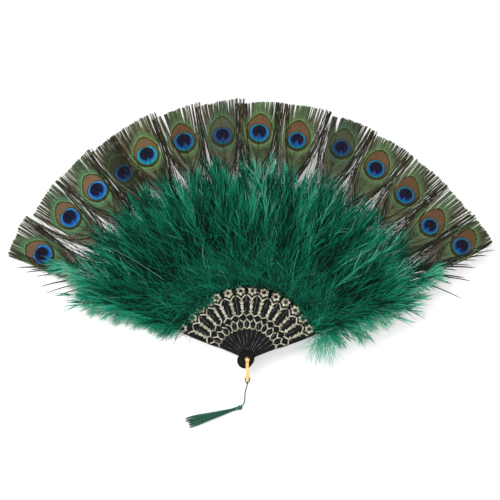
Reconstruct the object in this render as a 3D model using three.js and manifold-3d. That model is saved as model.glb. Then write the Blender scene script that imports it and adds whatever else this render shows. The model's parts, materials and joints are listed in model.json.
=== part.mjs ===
// Folding hand fan: fourteen peacock feathers on moulded openwork sticks, a collar of marabou
// down before and behind them, a gilt bail on the pivot pin, and a cord with a tassel.
// Millimetres, +Z up. The fan lies open on its back, the pin's foot stands at the origin and
// the sticks spread towards +Y, each in a layer of its own so that they close without touching.
import * as THREE from 'three';
import { mergeVertices } from 'three/addons/utils/BufferGeometryUtils.js';
import Module from 'manifold-3d';

const wasm = await Module();
wasm.setup();

// Angles, in degrees, counterclockwise from +X as seen from above
const rearGuardAngle = 152.2;
const frontGuardAngle = 26;
const stickAngleShares = [
  0, 0.074, 0.155, 0.229, 0.282, 0.364, 0.449, 0.527, 0.607, 0.689, 0.762, 0.845, 0.921, 1,
];
const featherTurns = [0.7, -1.4, -1, 0.2, -0.5, 0, 0.7, 1.25, 1.55, 0.7, 0.1, 0.6, 0.2, 1.8];

// Clearances
const layerGap = 0.2;
const sideGap = 0.6;
const runningGap = 0.25;
const seatGap = 0.3;

// Sticks, measured from the pin's axis
const stickReach = 75.5;
const tipLength = 9.5;
const shoulderHalfWidth = 6.7;
const ribReach = 30;
const ribHalfWidth = 3.05;
const neckReach = 9.5;
const neckHalfWidth = 1.2;
const buttRadius = 8;
const buttSetback = 1.5;
const buttMouthAngle = 45;
const floorThickness = 0.2;
const frameHeight = 0.3;
const guardFrameHeight = 0.9;
const reliefHeight = 0.25;
const ribRidgeHalfWidth = 0.55;
const forkHalfWidth = 0.4;
const rosetteHoleRadius = 1.2;

// Peacock feathers
const featherReach = 262;
const featherReachShares = [1, 1, 1.003, 0.992, 1, 1, 0.992, 1, 0.992, 1, 0.985, 0.98, 0.985, 1.015];
const vaneStart = 150;
const vaneHalfWidth = 25.5;
const vaneThickness = 0.3;
const quillStart = 46;
const quillHalfWidth = 0.8;
const quillThickness = 0.5;

// Marabou down
const downReach = 203;
const downHeight = 16;
const rearSpreadAngle = 15;
const frontSpreadAngle = 20;

// Pivot pin, its ball nut and the bail
const pinRadius = 1.1;
const footRadius = 3;
const footThickness = 0.9;
const nutRadius = 2.15;
const bailThickness = 1.4;
const bailWidth = 2.9;
const bailReach = 21.3;
const bailEyeRadius = 2.3;
const bailCornerRadius = 2.2;

// Cord and tassel. The cord's route, from its knot to the tassel's head, is chosen by hand.
const cordRadius = 0.6;
const knotRadius = 1.25;
const cordRoute = [
  [-0.1, -25.3, 3.7],
  [-0.7, -27.6, 2.8],
  [-1.5, -30.4, 1.4],
  [-2.1, -33.4, 0.75],
  [-2.5, -36.6, 0.65],
  [-2.5, -40, 0.65],
  [-2.9, -42.9, 0.8],
  [-4.1, -45.1, 1.4],
  [-5.6, -46.6, 2.1],
];
const headRadius = 2.5;
const tasselAngle = 196.5;
const skirtLength = 53;
const skirtHalfWidth = 6;
const skirtNeckRadius = 1.5;
const skirtHalfHeight = 1.9;
const bindingLength = 2.6;
const bindingThickness = 0.6;

// How finely the round shapes are cut
const arcSteps = 4;
const pinSides = 16;
const ringSides = 12;
const tubeSides = 8;
const cordSteps = 10;

// Worked out from the sizes above
const stickCount = stickAngleShares.length;
const lastStick = stickCount - 1;
const shoulderReach = stickReach - tipLength;
const backOfWeb = quillThickness + layerGap / 2;
const halfTurn = Math.PI;
const radians = (degrees) => THREE.MathUtils.degToRad(degrees);
const isGuard = (stick) => stick === 0 || stick === lastStick;
const frameBottom = backOfWeb + floorThickness;
const webTop = (stick) => frameBottom + (isGuard(stick) ? guardFrameHeight : frameHeight);
const stickThickness = (stick) => webTop(stick) + reliefHeight;
const layerBottoms = [footThickness + bailThickness + 2 * layerGap];
for (let stick = 0; stick < stickCount; stick++) {
  layerBottoms.push(layerBottoms[stick] + stickThickness(stick) + layerGap);
}
const stackTop = layerBottoms[stickCount] - layerGap;
const bailTop = stackTop + layerGap + bailThickness;
const stickAngles = stickAngleShares.map(
  (share) => rearGuardAngle + share * (frontGuardAngle - rearGuardAngle),
);

// Solids: closed meshes that can be joined and cut
function solidOf(geometry) {
  const bare = geometry.clone();
  bare.deleteAttribute('normal');
  bare.deleteAttribute('uv');
  const merged = mergeVertices(bare);
  return new wasm.Manifold(
    new wasm.Mesh({
      numProp: 3,
      vertProperties: new Float32Array(merged.attributes.position.array),
      triVerts: new Uint32Array(merged.index.array),
    }),
  );
}

function geometryOf(solid) {
  const mesh = solid.getMesh();
  const geometry = new THREE.BufferGeometry();
  geometry.setAttribute('position', new THREE.BufferAttribute(mesh.vertProperties, mesh.numProp));
  geometry.setIndex(new THREE.BufferAttribute(mesh.triVerts, 1));
  return geometry;
}

// A flat shape given a thickness between two heights
function plate(shape, bottom, top) {
  const geometry = new THREE.ExtrudeGeometry(shape, {
    depth: top - bottom,
    bevelEnabled: false,
    curveSegments: arcSteps,
  });
  return geometry.translate(0, 0, bottom);
}

// A profile of [radius, height] points turned about the Z axis
function turned(profile, sides) {
  const points = profile.map(([radius, height]) => new THREE.Vector2(radius, height));
  return new THREE.LatheGeometry(points, sides).rotateX(halfTurn / 2);
}

// A skin over rings of equally many points, closed at both ends
function loft(rings) {
  const around = rings[0].length;
  const index = [];
  for (let ring = 0; ring < rings.length - 1; ring++) {
    for (let point = 0; point < around; point++) {
      const here = ring * around + point;
      const beside = ring * around + ((point + 1) % around);
      index.push(here, beside, beside + around, here, beside + around, here + around);
    }
  }
  const lastRing = (rings.length - 1) * around;
  for (let point = 1; point < around - 1; point++) {
    index.push(0, point + 1, point);
    index.push(lastRing, lastRing + point, lastRing + point + 1);
  }
  const geometry = new THREE.BufferGeometry();
  geometry.setAttribute('position', new THREE.Float32BufferAttribute(rings.flat(2), 3));
  geometry.setIndex(index);
  return geometry;
}

function shapeOf(points) {
  return new THREE.Shape(points.map(([x, y]) => new THREE.Vector2(x, y)));
}

function roundHole(x, y, radius) {
  const hole = new THREE.Path();
  hole.absarc(x, y, radius, 0, 2 * halfTurn, true);
  return hole;
}

// Sticks. Along a stick, decor is placed by shares of the stretch from the ribs to the shoulder
// and, across it, by shares of the half width there.
function halfWidthAt(reach) {
  const share = Math.min((reach - ribReach) / (shoulderReach - ribReach), 1);
  return ribHalfWidth + share * (shoulderHalfWidth - ribHalfWidth);
}

function decorPoint([alongShare, acrossShare]) {
  const reach = ribReach + alongShare * (shoulderReach - ribReach);
  return [reach, acrossShare * halfWidthAt(reach)];
}

const hexCellShares = [[0.03, 0], [0.065, 0.42], [0.13, 0.42], [0.165, 0], [0.13, -0.42], [0.065, -0.42]];
const diamondCellShares = [[0.2, 0], [0.28, 0.5], [0.36, 0], [0.28, -0.5]];
const windowShares = [[0.46, 0.34], [0.46, 0.66], [0.64, 0.76], [0.79, 0.76], [0.76, 0.3], [0.64, 0.36]];
const stemShares = [[0.38, 0.12], [0.55, 0.12], [0.65, 0.24], [0.75, 0.12], [0.84, 0.12]];
const forkShares = [[0.82, 0], [0.9, 0.3], [0.97, 0.8]];
const rosetteShares = [[1.02, 0.5], [1.13, 0], [1.02, -0.5]];

const neckCurveShare = 0.6;

const mirrored = (shares) => shares.map(([along, across]) => [along, -across]).reverse();

// The butt is a disc set back behind the pin, drawn in to a narrow neck
function addButt(shape) {
  const mouth = radians(buttMouthAngle);
  shape.quadraticCurveTo(
    neckReach * neckCurveShare,
    neckHalfWidth,
    buttRadius * Math.cos(mouth) - buttSetback,
    buttRadius * Math.sin(mouth),
  );
  for (let step = 1; step <= 2 * arcSteps; step++) {
    const angle = mouth + (step / (2 * arcSteps)) * 2 * (halfTurn - mouth);
    shape.lineTo(buttRadius * Math.cos(angle) - buttSetback, buttRadius * Math.sin(angle));
  }
  shape.quadraticCurveTo(neckReach * neckCurveShare, -neckHalfWidth, neckReach, -neckHalfWidth);
  shape.holes.push(roundHole(0, 0, pinRadius + runningGap));
}

function gripShape() {
  const shape = new THREE.Shape();
  shape.moveTo(ribReach, -ribHalfWidth);
  shape.lineTo(ribReach, ribHalfWidth);
  shape.lineTo(neckReach, neckHalfWidth);
  addButt(shape);
  return shape;
}

// The openwork part. Its floor is pierced only at the rosette; the frame on it has every cell.
function openworkShape(cells) {
  const shape = new THREE.Shape();
  shape.moveTo(ribReach, -ribHalfWidth);
  shape.lineTo(shoulderReach, -shoulderHalfWidth);
  shape.quadraticCurveTo(stickReach, -shoulderHalfWidth, stickReach, 0);
  shape.quadraticCurveTo(stickReach, shoulderHalfWidth, shoulderReach, shoulderHalfWidth);
  shape.lineTo(ribReach, ribHalfWidth);
  shape.lineTo(neckReach, neckHalfWidth);
  addButt(shape);
  for (const shares of cells) {
    shape.holes.push(shapeOf(shares.map(decorPoint).reverse()));
  }
  for (const [x, y] of rosetteShares.map(decorPoint)) {
    shape.holes.push(roundHole(x, y, rosetteHoleRadius));
  }
  return shape;
}

function stemShape() {
  const side = stemShares.map(decorPoint);
  const otherSide = mirrored(stemShares).map(decorPoint);
  return shapeOf([...otherSide.reverse(), ...side.reverse()]);
}

// A fork arm is a strip of even width bent along its points
function forkShape(side) {
  const points = forkShares.map(([along, across]) => decorPoint([along, across * side]));
  const outer = points.map(([x, y]) => [x - forkHalfWidth, y + side * forkHalfWidth]);
  const inner = points.map(([x, y]) => [x + forkHalfWidth, y - side * forkHalfWidth]).reverse();
  return shapeOf([...outer, ...inner]);
}

function ribRidgeShape() {
  return shapeOf([
    [neckReach, -ribRidgeHalfWidth],
    [ribReach, -ribRidgeHalfWidth],
    [ribReach, ribRidgeHalfWidth],
    [neckReach, ribRidgeHalfWidth],
  ]);
}

function stickGeometry(stick) {
  const cells = [hexCellShares, diamondCellShares, windowShares, mirrored(windowShares)];
  const grip = solidOf(plate(gripShape(), 0, webTop(stick)));
  const floor = solidOf(plate(openworkShape([]), backOfWeb, webTop(stick) - frameHeight));
  let body = grip.add(floor).add(solidOf(plate(openworkShape(cells), backOfWeb, webTop(stick))));
  for (const shape of [stemShape(), forkShape(1), forkShape(-1), ribRidgeShape()]) {
    body = body.add(solidOf(plate(shape, backOfWeb, stickThickness(stick))));
  }
  return geometryOf(body);
}

// Peacock feathers: a flat quill with a thin vane, cut to an arc about the pin
const vaneShares = [[0, 0.12], [0.2, 0.42], [0.42, 0.74], [0.62, 0.93], [0.82, 1], [0.96, 0.97]];
const cutShares = [0.8, 0.4, 0];
const quillTipShare = 0.98;

function vaneShape(reach) {
  const side = vaneShares.map(([along, across]) => [
    vaneStart + along * (reach - vaneStart),
    across * vaneHalfWidth,
  ]);
  for (const across of cutShares) {
    const width = across * vaneHalfWidth;
    side.push([Math.sqrt(reach ** 2 - width ** 2), width]);
  }
  const otherSide = side.slice(0, -1).map(([x, y]) => [x, -y]);
  return shapeOf([...otherSide, ...side.reverse()]);
}

function featherGeometry(stick) {
  const reach = featherReach * featherReachShares[stick];
  const quill = new THREE.BoxGeometry(reach * quillTipShare - quillStart, 2 * quillHalfWidth, quillThickness);
  quill.translate((reach * quillTipShare + quillStart) / 2, 0, quillThickness / 2);
  const vaneBottom = (quillThickness - vaneThickness) / 2;
  const vane = plate(vaneShape(reach), vaneBottom, vaneBottom + vaneThickness);
  return geometryOf(solidOf(quill).add(solidOf(vane)));
}

// Marabou down: a puffed wedge per sector, [reach, side, height] rings joined by a loft.
// Inner rings lie on the quills, outer ones clear the neighbouring vane in the next layer.
const innerRingShares = [0, 0.25, 0.7];
const outerRingShares = [0, 0.35, 0.7, 0.92, 1];
const ringWidthShares = [0.9, 1, 1, 1, 1, 0.96, 0.75, 0.4];
const ringHeightShares = [0.3, 0.75, 1, 0.95, 0.8, 0.55, 0.3, 0.12];
const rearSpreadShares = [0.8, 1, 1, 0.9, 0.75, 0.6, 0.45, 0.3];
const frontSpreadShares = [0.95, 1, 0.75, 0.62, 0.5, 0.4, 0.3, 0.2];
const puffShares = [[-0.8, 0], [0.8, 0], [1, 0.35], [0.75, 0.82], [0, 1], [-0.75, 0.82], [-1, 0.35]];

const downStart = stickReach + sideGap;
const ringReaches = [
  ...innerRingShares.map((share) => downStart + share * (vaneStart - downStart)),
  ...outerRingShares.map((share) => vaneStart + share * (downReach - vaneStart)),
];
const firstOuterRing = innerRingShares.length;
const ringIndexes = ringReaches.map((reach, ring) => ring);

const halfSectors = (stick, neighbour) => Math.abs(stickAngles[stick] - stickAngles[neighbour]) / 2;

// Half width of a tuft towards the rear guard, then towards the front guard, at one ring
function rearSide(stick, ring) {
  if (stick === 0) {
    return ringReaches[ring] * Math.tan(radians(rearSpreadAngle * rearSpreadShares[ring]));
  }
  return ringReaches[ring] * Math.tan(radians(halfSectors(stick, stick - 1))) - sideGap / 2;
}

function frontSide(stick, lastInTuft, ring) {
  const across = stickAngles[stick] - stickAngles[lastInTuft];
  if (lastInTuft === lastStick) {
    return ringReaches[ring] * Math.tan(radians(across + frontSpreadAngle * frontSpreadShares[ring]));
  }
  const half = halfSectors(lastInTuft, lastInTuft + 1);
  return ringReaches[ring] * Math.tan(radians(across + half)) - sideGap / 2;
}

function tuftRing(ring, rearWidth, frontWidth, bottom, top) {
  return puffShares.map(([across, up]) => [
    ringReaches[ring],
    across * ringWidthShares[ring] * (across < 0 ? frontWidth : rearWidth),
    bottom + up * (top - bottom),
  ]);
}

function frontDownGeometry(stick) {
  const ownLayer = quillThickness + layerGap;
  const aboveNeighbour = layerBottoms[Math.min(stick + 1, lastStick)] - layerBottoms[stick];
  const rings = ringIndexes.map((ring) => {
    const bottom = ring < firstOuterRing ? ownLayer : ownLayer + aboveNeighbour;
    const top = bottom + downHeight * ringHeightShares[ring];
    return tuftRing(ring, rearSide(stick, ring), frontSide(stick, stick, ring), bottom, top);
  });
  return loft(rings);
}

// A tuft behind two sticks, from the surface the fan lies on up to the lower of their feathers
function backDownGeometry(stick) {
  const floor = -layerBottoms[stick];
  const belowNeighbour = layerBottoms[Math.max(stick - 1, 0)] - layerBottoms[stick];
  const rings = ringIndexes.map((ring) => {
    const top = ring < firstOuterRing ? -layerGap : belowNeighbour - layerGap;
    return tuftRing(ring, rearSide(stick, ring), frontSide(stick, stick + 1, ring), floor, top);
  });
  return loft(rings);
}

// Pivot pin with its flat foot, and the ball nut that closes it
const nutBottom = bailTop + layerGap;
const nutSeatShare = 0.7;
const nutTurnShares = [0, 0.2, 0.4, 0.6, 0.8, 1];
const pinEndShare = 0.5;
const nutCentre = nutBottom + nutRadius * nutSeatShare;

function pinGeometry() {
  const pinTop = nutCentre + nutRadius * pinEndShare;
  return turned(
    [[0, 0], [footRadius, 0], [footRadius, footThickness], [pinRadius, footThickness], [pinRadius, pinTop], [0, pinTop]],
    pinSides,
  );
}

function nutGeometry() {
  const bore = pinRadius + layerGap / 2;
  const boreTop = nutCentre + nutRadius * pinEndShare + layerGap / 2;
  const seatAngle = -Math.asin(nutSeatShare);
  const ball = nutTurnShares.map((share) => {
    const angle = seatAngle + share * (halfTurn / 2 - seatAngle);
    return [share === 1 ? 0 : nutRadius * Math.cos(angle), nutCentre + nutRadius * Math.sin(angle)];
  });
  return turned([[0, boreTop], [bore, boreTop], [bore, nutBottom], ...ball], pinSides);
}

// The bail: a strap bent to a U round the sticks' heads, with an eye on the pin at each end.
// Its outline is drawn in the plane of the U, x away from the pin and y up.
function roundedRectangle(left, right, bottom, top, radius) {
  const shape = new THREE.Shape();
  shape.moveTo(left, bottom);
  shape.lineTo(right - radius, bottom);
  shape.absarc(right - radius, bottom + radius, radius, -halfTurn / 2, 0, false);
  shape.lineTo(right, top - radius);
  shape.absarc(right - radius, top - radius, radius, 0, halfTurn / 2, false);
  shape.lineTo(left, top);
  return shape;
}

function bailGeometry() {
  const bottom = footThickness + layerGap;
  const outer = roundedRectangle(0, bailReach, bottom, bailTop, bailCornerRadius);
  const inner = roundedRectangle(
    -bailEyeRadius,
    bailReach - bailThickness,
    bottom + bailThickness,
    bailTop - bailThickness,
    Math.max(bailCornerRadius - bailThickness, cordRadius),
  );
  const strap = solidOf(plate(outer, -bailWidth / 2, bailWidth / 2));
  const eyes = solidOf(
    turned([[0, bottom], [bailEyeRadius, bottom], [bailEyeRadius, bailTop], [0, bailTop]], pinSides),
  );
  const bore = pinRadius + runningGap;
  const pinHole = solidOf(turned([[0, 0], [bore, 0], [bore, nutBottom], [0, nutBottom]], pinSides));
  const hollow = solidOf(plate(inner, -bailEyeRadius - bailWidth, bailEyeRadius + bailWidth));
  // The strap is turned so that the U stands up and points away from the feathers
  const stand = (solid) => solid.rotate([90, 0, -90]);
  return geometryOf(stand(strap).add(eyes).subtract(stand(hollow)).subtract(pinHole));
}

// Cord: a loop tied round the bail's bend with its knot, then the free cord to the tassel
const barCentre = bailReach - bailThickness / 2;
const loopRadius = Math.hypot(bailWidth, bailThickness) / 2 + seatGap + cordRadius;
const loopHeight = footThickness + layerGap + bailCornerRadius + cordRadius;
const ringProfile = (radius, height, thickness) =>
  Array.from({ length: tubeSides + 1 }, (unused, side) => {
    const angle = (side / tubeSides) * 2 * halfTurn;
    return [radius + thickness * Math.cos(angle), height + thickness * Math.sin(angle)];
  });

function knotGeometry() {
  const loop = turned(ringProfile(loopRadius, 0, cordRadius), ringSides);
  const knot = new THREE.SphereGeometry(knotRadius, tubeSides, tubeSides / 2).rotateX(halfTurn / 2);
  knot.translate(0, -loopRadius - knotRadius / 2, 0);
  return geometryOf(solidOf(loop).add(solidOf(knot)));
}

function cordGeometry() {
  const path = new THREE.CatmullRomCurve3(cordRoute.map((point) => new THREE.Vector3(...point)));
  const section = shapeOf(ringProfile(0, 0, cordRadius).slice(0, tubeSides));
  return new THREE.ExtrudeGeometry(section, { steps: cordSteps, extrudePath: path });
}

// Tassel: a bead for a head, a flattened skirt of threads and a binding round its neck.
// They are made along +X from the head's centre and turned to the way the tassel lies.
const skirtShares = [[0, 0], [0.08, 0.04], [0.22, 0.3], [0.6, 0.75], [0.94, 1], [1, 0.9]];
const skirtStart = headRadius + seatGap;

function headCentre() {
  const [before, end] = cordRoute.slice(-2).map(([x, y]) => new THREE.Vector2(x, y));
  const step = end.clone().sub(before).normalize().multiplyScalar(headRadius + seatGap);
  return end.add(step);
}

function skirtGeometry() {
  const rings = skirtShares.map(([along, spread]) => {
    const halfWidth = skirtNeckRadius + spread * (skirtHalfWidth - skirtNeckRadius);
    const halfHeight = skirtNeckRadius + spread * (skirtHalfHeight - skirtNeckRadius);
    const centre = headRadius + (halfHeight + seatGap - headRadius) * Math.min(spread + along, 1);
    return Array.from({ length: tubeSides }, (unused, side) => {
      const angle = (side / tubeSides) * 2 * halfTurn;
      return [
        skirtStart + along * skirtLength,
        halfWidth * Math.cos(angle),
        centre - headRadius + halfHeight * Math.sin(angle),
      ];
    });
  });
  return loft(rings);
}

function bindingGeometry() {
  const inner = skirtNeckRadius + seatGap;
  const outer = inner + bindingThickness;
  const start = skirtStart + seatGap;
  const end = start + bindingLength;
  const profile = [[inner, start], [outer, start], [outer, end], [inner, end], [inner, start]];
  return turned(profile, ringSides).rotateY(halfTurn / 2);
}

// Finishes
const finish = {
  plastic: { color: 0x111112, roughness: 0.35, metalness: 0 },
  feather: { color: 0x3e4a2c, roughness: 0.7, metalness: 0 },
  down: { color: 0x11694a, roughness: 0.9, metalness: 0 },
  gilt: { color: 0xd8b25a, roughness: 0.3, metalness: 1 },
  thread: { color: 0x2f6b54, roughness: 0.75, metalness: 0 },
};

function piece(name, geometry, look) {
  const mesh = new THREE.Mesh(geometry, new THREE.MeshStandardMaterial(finish[look]));
  mesh.name = name;
  return mesh;
}

const numbered = (name, stick) => `${name}_${String(stick + 1).padStart(2, '0')}`;

function stickName(stick) {
  if (stick === 0) {
    return 'rear_guard';
  }
  return stick === lastStick ? 'front_guard' : numbered('stick', stick);
}

// One stick with its feather and down, in the stick's own layer
function bladeGroup(stick) {
  const blade = new THREE.Group();
  const feather = piece(numbered('peacock_feather', stick), featherGeometry(stick), 'feather');
  feather.rotation.z = radians(featherTurns[stick]);
  blade.add(piece(stickName(stick), stickGeometry(stick), 'plastic'));
  blade.add(feather);
  blade.add(piece(numbered('front_down', stick), frontDownGeometry(stick), 'down'));
  if (stick % 2 === 0) {
    blade.add(piece(numbered('back_down', stick), backDownGeometry(stick), 'down'));
  }
  blade.rotation.z = radians(stickAngles[stick]);
  blade.position.z = layerBottoms[stick];
  return blade;
}

function pivotGroup() {
  const pivot = new THREE.Group();
  pivot.add(piece('pivot_pin', pinGeometry(), 'gilt'));
  pivot.add(piece('pin_ball_nut', nutGeometry(), 'gilt'));
  pivot.add(piece('bail', bailGeometry(), 'gilt'));
  return pivot;
}

function tasselGroup() {
  const tassel = new THREE.Group();
  tassel.add(piece('tassel_head', new THREE.SphereGeometry(headRadius, ringSides, tubeSides), 'thread'));
  tassel.add(piece('tassel_skirt', skirtGeometry(), 'thread'));
  tassel.add(piece('tassel_binding', bindingGeometry(), 'thread'));
  tassel.rotation.z = radians(tasselAngle);
  const centre = headCentre();
  tassel.position.set(centre.x, centre.y, headRadius);
  return tassel;
}

const fan = new THREE.Group();
for (let stick = 0; stick < stickCount; stick++) {
  fan.add(bladeGroup(stick));
}
fan.add(pivotGroup());
const knot = piece('cord_knot', knotGeometry(), 'thread');
knot.position.set(0, -barCentre, loopHeight);
fan.add(knot);
fan.add(piece('tassel_cord', cordGeometry(), 'thread'));
fan.add(tasselGroup());

export default fan;
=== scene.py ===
import json
import math

import bmesh
import bpy
import numpy as np
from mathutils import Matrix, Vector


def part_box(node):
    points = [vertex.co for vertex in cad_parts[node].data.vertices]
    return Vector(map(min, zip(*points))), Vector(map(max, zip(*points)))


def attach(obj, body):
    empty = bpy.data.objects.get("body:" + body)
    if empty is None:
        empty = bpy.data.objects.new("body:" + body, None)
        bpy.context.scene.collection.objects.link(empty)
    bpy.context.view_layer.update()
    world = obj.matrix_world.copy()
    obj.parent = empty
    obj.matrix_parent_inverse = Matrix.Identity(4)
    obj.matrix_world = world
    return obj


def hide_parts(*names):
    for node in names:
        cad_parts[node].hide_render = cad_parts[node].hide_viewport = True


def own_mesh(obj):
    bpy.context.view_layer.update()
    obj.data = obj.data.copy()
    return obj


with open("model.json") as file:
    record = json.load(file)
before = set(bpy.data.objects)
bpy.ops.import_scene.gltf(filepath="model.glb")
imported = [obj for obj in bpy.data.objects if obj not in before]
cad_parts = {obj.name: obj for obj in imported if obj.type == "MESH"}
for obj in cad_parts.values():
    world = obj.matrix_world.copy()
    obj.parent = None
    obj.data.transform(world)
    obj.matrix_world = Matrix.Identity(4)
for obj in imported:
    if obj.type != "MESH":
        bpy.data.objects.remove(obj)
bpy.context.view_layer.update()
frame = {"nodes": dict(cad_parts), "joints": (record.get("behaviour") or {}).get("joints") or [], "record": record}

mm = 0.001  # every size below is in millimetres, and mm turns it into metres
fullTurn = 2 * math.pi

# Layout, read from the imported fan: where each stick points and how high its layer is

fan = {"sticks": 14, "rearGripMount": "rear_guard_back"}


def numbered(name, stick):
    return f"{name}_{stick + 1:02d}"


def stickName(stick):
    if stick == 0:
        return "rear_guard"
    return "front_guard" if stick == fan["sticks"] - 1 else numbered("stick", stick)


def foldOf(stick):  # the joint whose share of the fold sets this stick's angle
    guard = stick in (0, fan["sticks"] - 1)
    return "fan_fold" if guard else stickName(stick) + "_fold"


record = frame["record"]
openAngle = next(j["range_deg"][1] for j in frame["joints"] if j["name"] == "fan_fold")
foldShares = {row["joint"]: row["ratio"] for row in record["behaviour"]["couplings"]}
rearGrip = next(m["pos_m"] for m in record["mounts"] if m["name"] == fan["rearGripMount"])
rearAngle = math.degrees(math.atan2(rearGrip[1], rearGrip[0]))
sticks = range(fan["sticks"])
lastStick = fan["sticks"] - 1
shares = [foldShares.get(foldOf(stick), 0 if stick == 0 else 1) for stick in sticks]
stickAngles = [rearAngle - share * openAngle for share in shares]
stickBoxes = [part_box(stickName(stick)) for stick in sticks]
stickBottoms = [low.z / mm for low, high in stickBoxes]
stickTops = [high.z / mm for low, high in stickBoxes]
print("layout: sticks from", round(stickAngles[0], 1), "to", round(stickAngles[-1], 1), "degrees")

# Camera: straight down on the open fan. fromPhoto gives the place of a pixel on a level z.

view = {"centreX": 2.7, "centreY": 108.9, "height": 4000, "sensor": 36, "widthSeen": 500}
photo = {"middle": 250}


def fromPhoto(pixel, z):
    reach = (view["height"] - z) / view["height"]
    x = view["centreX"] + (pixel[0] - photo["middle"]) * reach
    y = view["centreY"] - (pixel[1] - photo["middle"]) * reach
    return x, y


def addCamera():
    data = bpy.data.cameras.new("camera")
    data.sensor_width = view["sensor"]
    data.lens = view["sensor"] * view["height"] / view["widthSeen"]
    camera = bpy.data.objects.new("camera", data)
    camera.location = (view["centreX"] * mm, view["centreY"] * mm, view["height"] * mm)
    bpy.context.scene.collection.objects.link(camera)
    bpy.context.scene.camera = camera


addCamera()
print("camera placed")


# Materials: Wire is a number on its way through the nodes, Finish is a material being made


class Wire:
    def __init__(self, finish, socket):
        self.finish = finish
        self.socket = socket

    def maths(self, operation, *values):
        return self.finish.node("Math", {"operation": operation}, dict(enumerate(values)))

    def __add__(self, other):
        return self.maths("ADD", self, other)

    def __radd__(self, other):
        return self.maths("ADD", other, self)

    def __sub__(self, other):
        return self.maths("SUBTRACT", self, other)

    def __rsub__(self, other):
        return self.maths("SUBTRACT", other, self)

    def __mul__(self, other):
        return self.maths("MULTIPLY", self, other)

    def __rmul__(self, other):
        return self.maths("MULTIPLY", other, self)

    def __truediv__(self, other):
        return self.maths("DIVIDE", self, other)

    def __rtruediv__(self, other):
        return self.maths("DIVIDE", other, self)

    def __abs__(self):
        return self.maths("ABSOLUTE", self)

    def root(self):
        return self.maths("SQRT", self)

    def floor(self):
        return self.maths("FLOOR", self)

    def orMore(self, other):
        return self.maths("MAXIMUM", self, other)

    def orLess(self, other):
        return self.maths("MINIMUM", self, other)

    def rising(self, low, high):  # 0 below low, 1 above high, smooth between
        settings = {"interpolation_type": "SMOOTHSTEP"}
        return self.finish.node("MapRange", settings, {"Value": self, 1: low, 2: high})

    def falling(self, low, high):
        return 1 - self.rising(low, high)


class Finish:
    def __init__(self, name):
        self.material = bpy.data.materials.new(name)
        self.material.use_nodes = True
        self.tree = self.material.node_tree
        self.tree.nodes.clear()

    def node(self, kind, settings=None, sockets=None, output=0):
        made = self.tree.nodes.new("ShaderNode" + kind)
        for name, value in (settings or {}).items():
            if name == "stops":
                setStops(made.color_ramp.elements, value)
            else:
                setattr(made, name, value)
        for name, value in (sockets or {}).items():
            if isinstance(value, Wire):
                self.tree.links.new(value.socket, made.inputs[name])
            else:
                made.inputs[name].default_value = value
        return Wire(self, made.outputs[output]) if made.outputs else None

    def ramp(self, value, *stops):
        return self.node("ValToRGB", {"stops": stops}, {"Fac": value})

    def mixed(self, share, first, second, blend="MIX"):
        settings = {"data_type": "RGBA", "blend_type": blend}
        colours = [paint(c) if isinstance(c, tuple) else c for c in (first, second)]
        return self.node("Mix", settings, {0: share, 6: colours[0], 7: colours[1]}, 2)

    def place(self):
        return self.node("TexCoord", output="Object")

    def mapUV(self, name):  # the two numbers of a piece's own UV map
        found = self.node("UVMap", {"uv_map": name})
        return [self.node("SeparateXYZ", None, {0: found}, axis) for axis in (0, 1)]

    def noise(self, vector, scale, detail=3.0):
        return self.node("TexNoise", None, {"Vector": vector, "Scale": scale, "Detail": detail})

    def bump(self, height, distance, strength=1.0):
        sockets = {"Height": height, "Distance": distance, "Strength": strength}
        return self.node("Bump", None, sockets)

    def shade(self, **sockets):  # the surface itself; a colour may be sRGB numbers from 0 to 255
        named = {name.replace("_", " "): value for name, value in sockets.items()}
        colour = named["Base Color"]
        named["Base Color"] = paint(colour) if isinstance(colour, tuple) else colour
        surface = self.node("BsdfPrincipled", None, named)
        self.node("OutputMaterial", None, {"Surface": surface})
        return self.material


def setStops(elements, stops):
    while len(elements) > len(stops):
        elements.remove(elements[-1])
    while len(elements) < len(stops):
        elements.new(1)
    for element, (place, colour) in zip(elements, stops):
        element.position = place
        element.color = paint(colour)


def paint(colour):  # sRGB numbers from 0 to 255, made linear
    parts = [part / 255 for part in colour]
    return (*[p / 12.92 if p <= 0.04045 else ((p + 0.055) / 1.055) ** 2.4 for p in parts], 1)


# Meshes


def addMesh(name, points, triangles, material, uv=None, smooth=True):
    mesh = bpy.data.meshes.new(name)
    mesh.vertices.add(len(points))
    mesh.vertices.foreach_set("co", (points * mm).astype(np.float32).ravel())
    mesh.loops.add(triangles.size)
    mesh.loops.foreach_set("vertex_index", triangles.astype(np.int32).ravel())
    mesh.polygons.add(len(triangles))
    starts = np.arange(0, triangles.size, 3, dtype=np.int32)
    mesh.polygons.foreach_set("loop_start", starts)
    mesh.update(calc_edges=True)
    mesh.polygons.foreach_set("use_smooth", np.full(len(triangles), smooth))
    if uv is not None:
        layer = mesh.uv_layers.new(name="OFBake")
        corners = uv[triangles.ravel()].astype(np.float32)
        layer.uv.foreach_set("vector", corners.ravel())
    mesh.materials.append(material)
    piece = bpy.data.objects.new(name, mesh)
    bpy.context.scene.collection.objects.link(piece)
    return piece


def unit(vectors):
    return vectors / np.maximum(np.linalg.norm(vectors, axis=-1, keepdims=True), 1e-9)


def turnSteps(count):  # this many equal steps of a full turn
    return fullTurn * np.arange(count) / count


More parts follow.
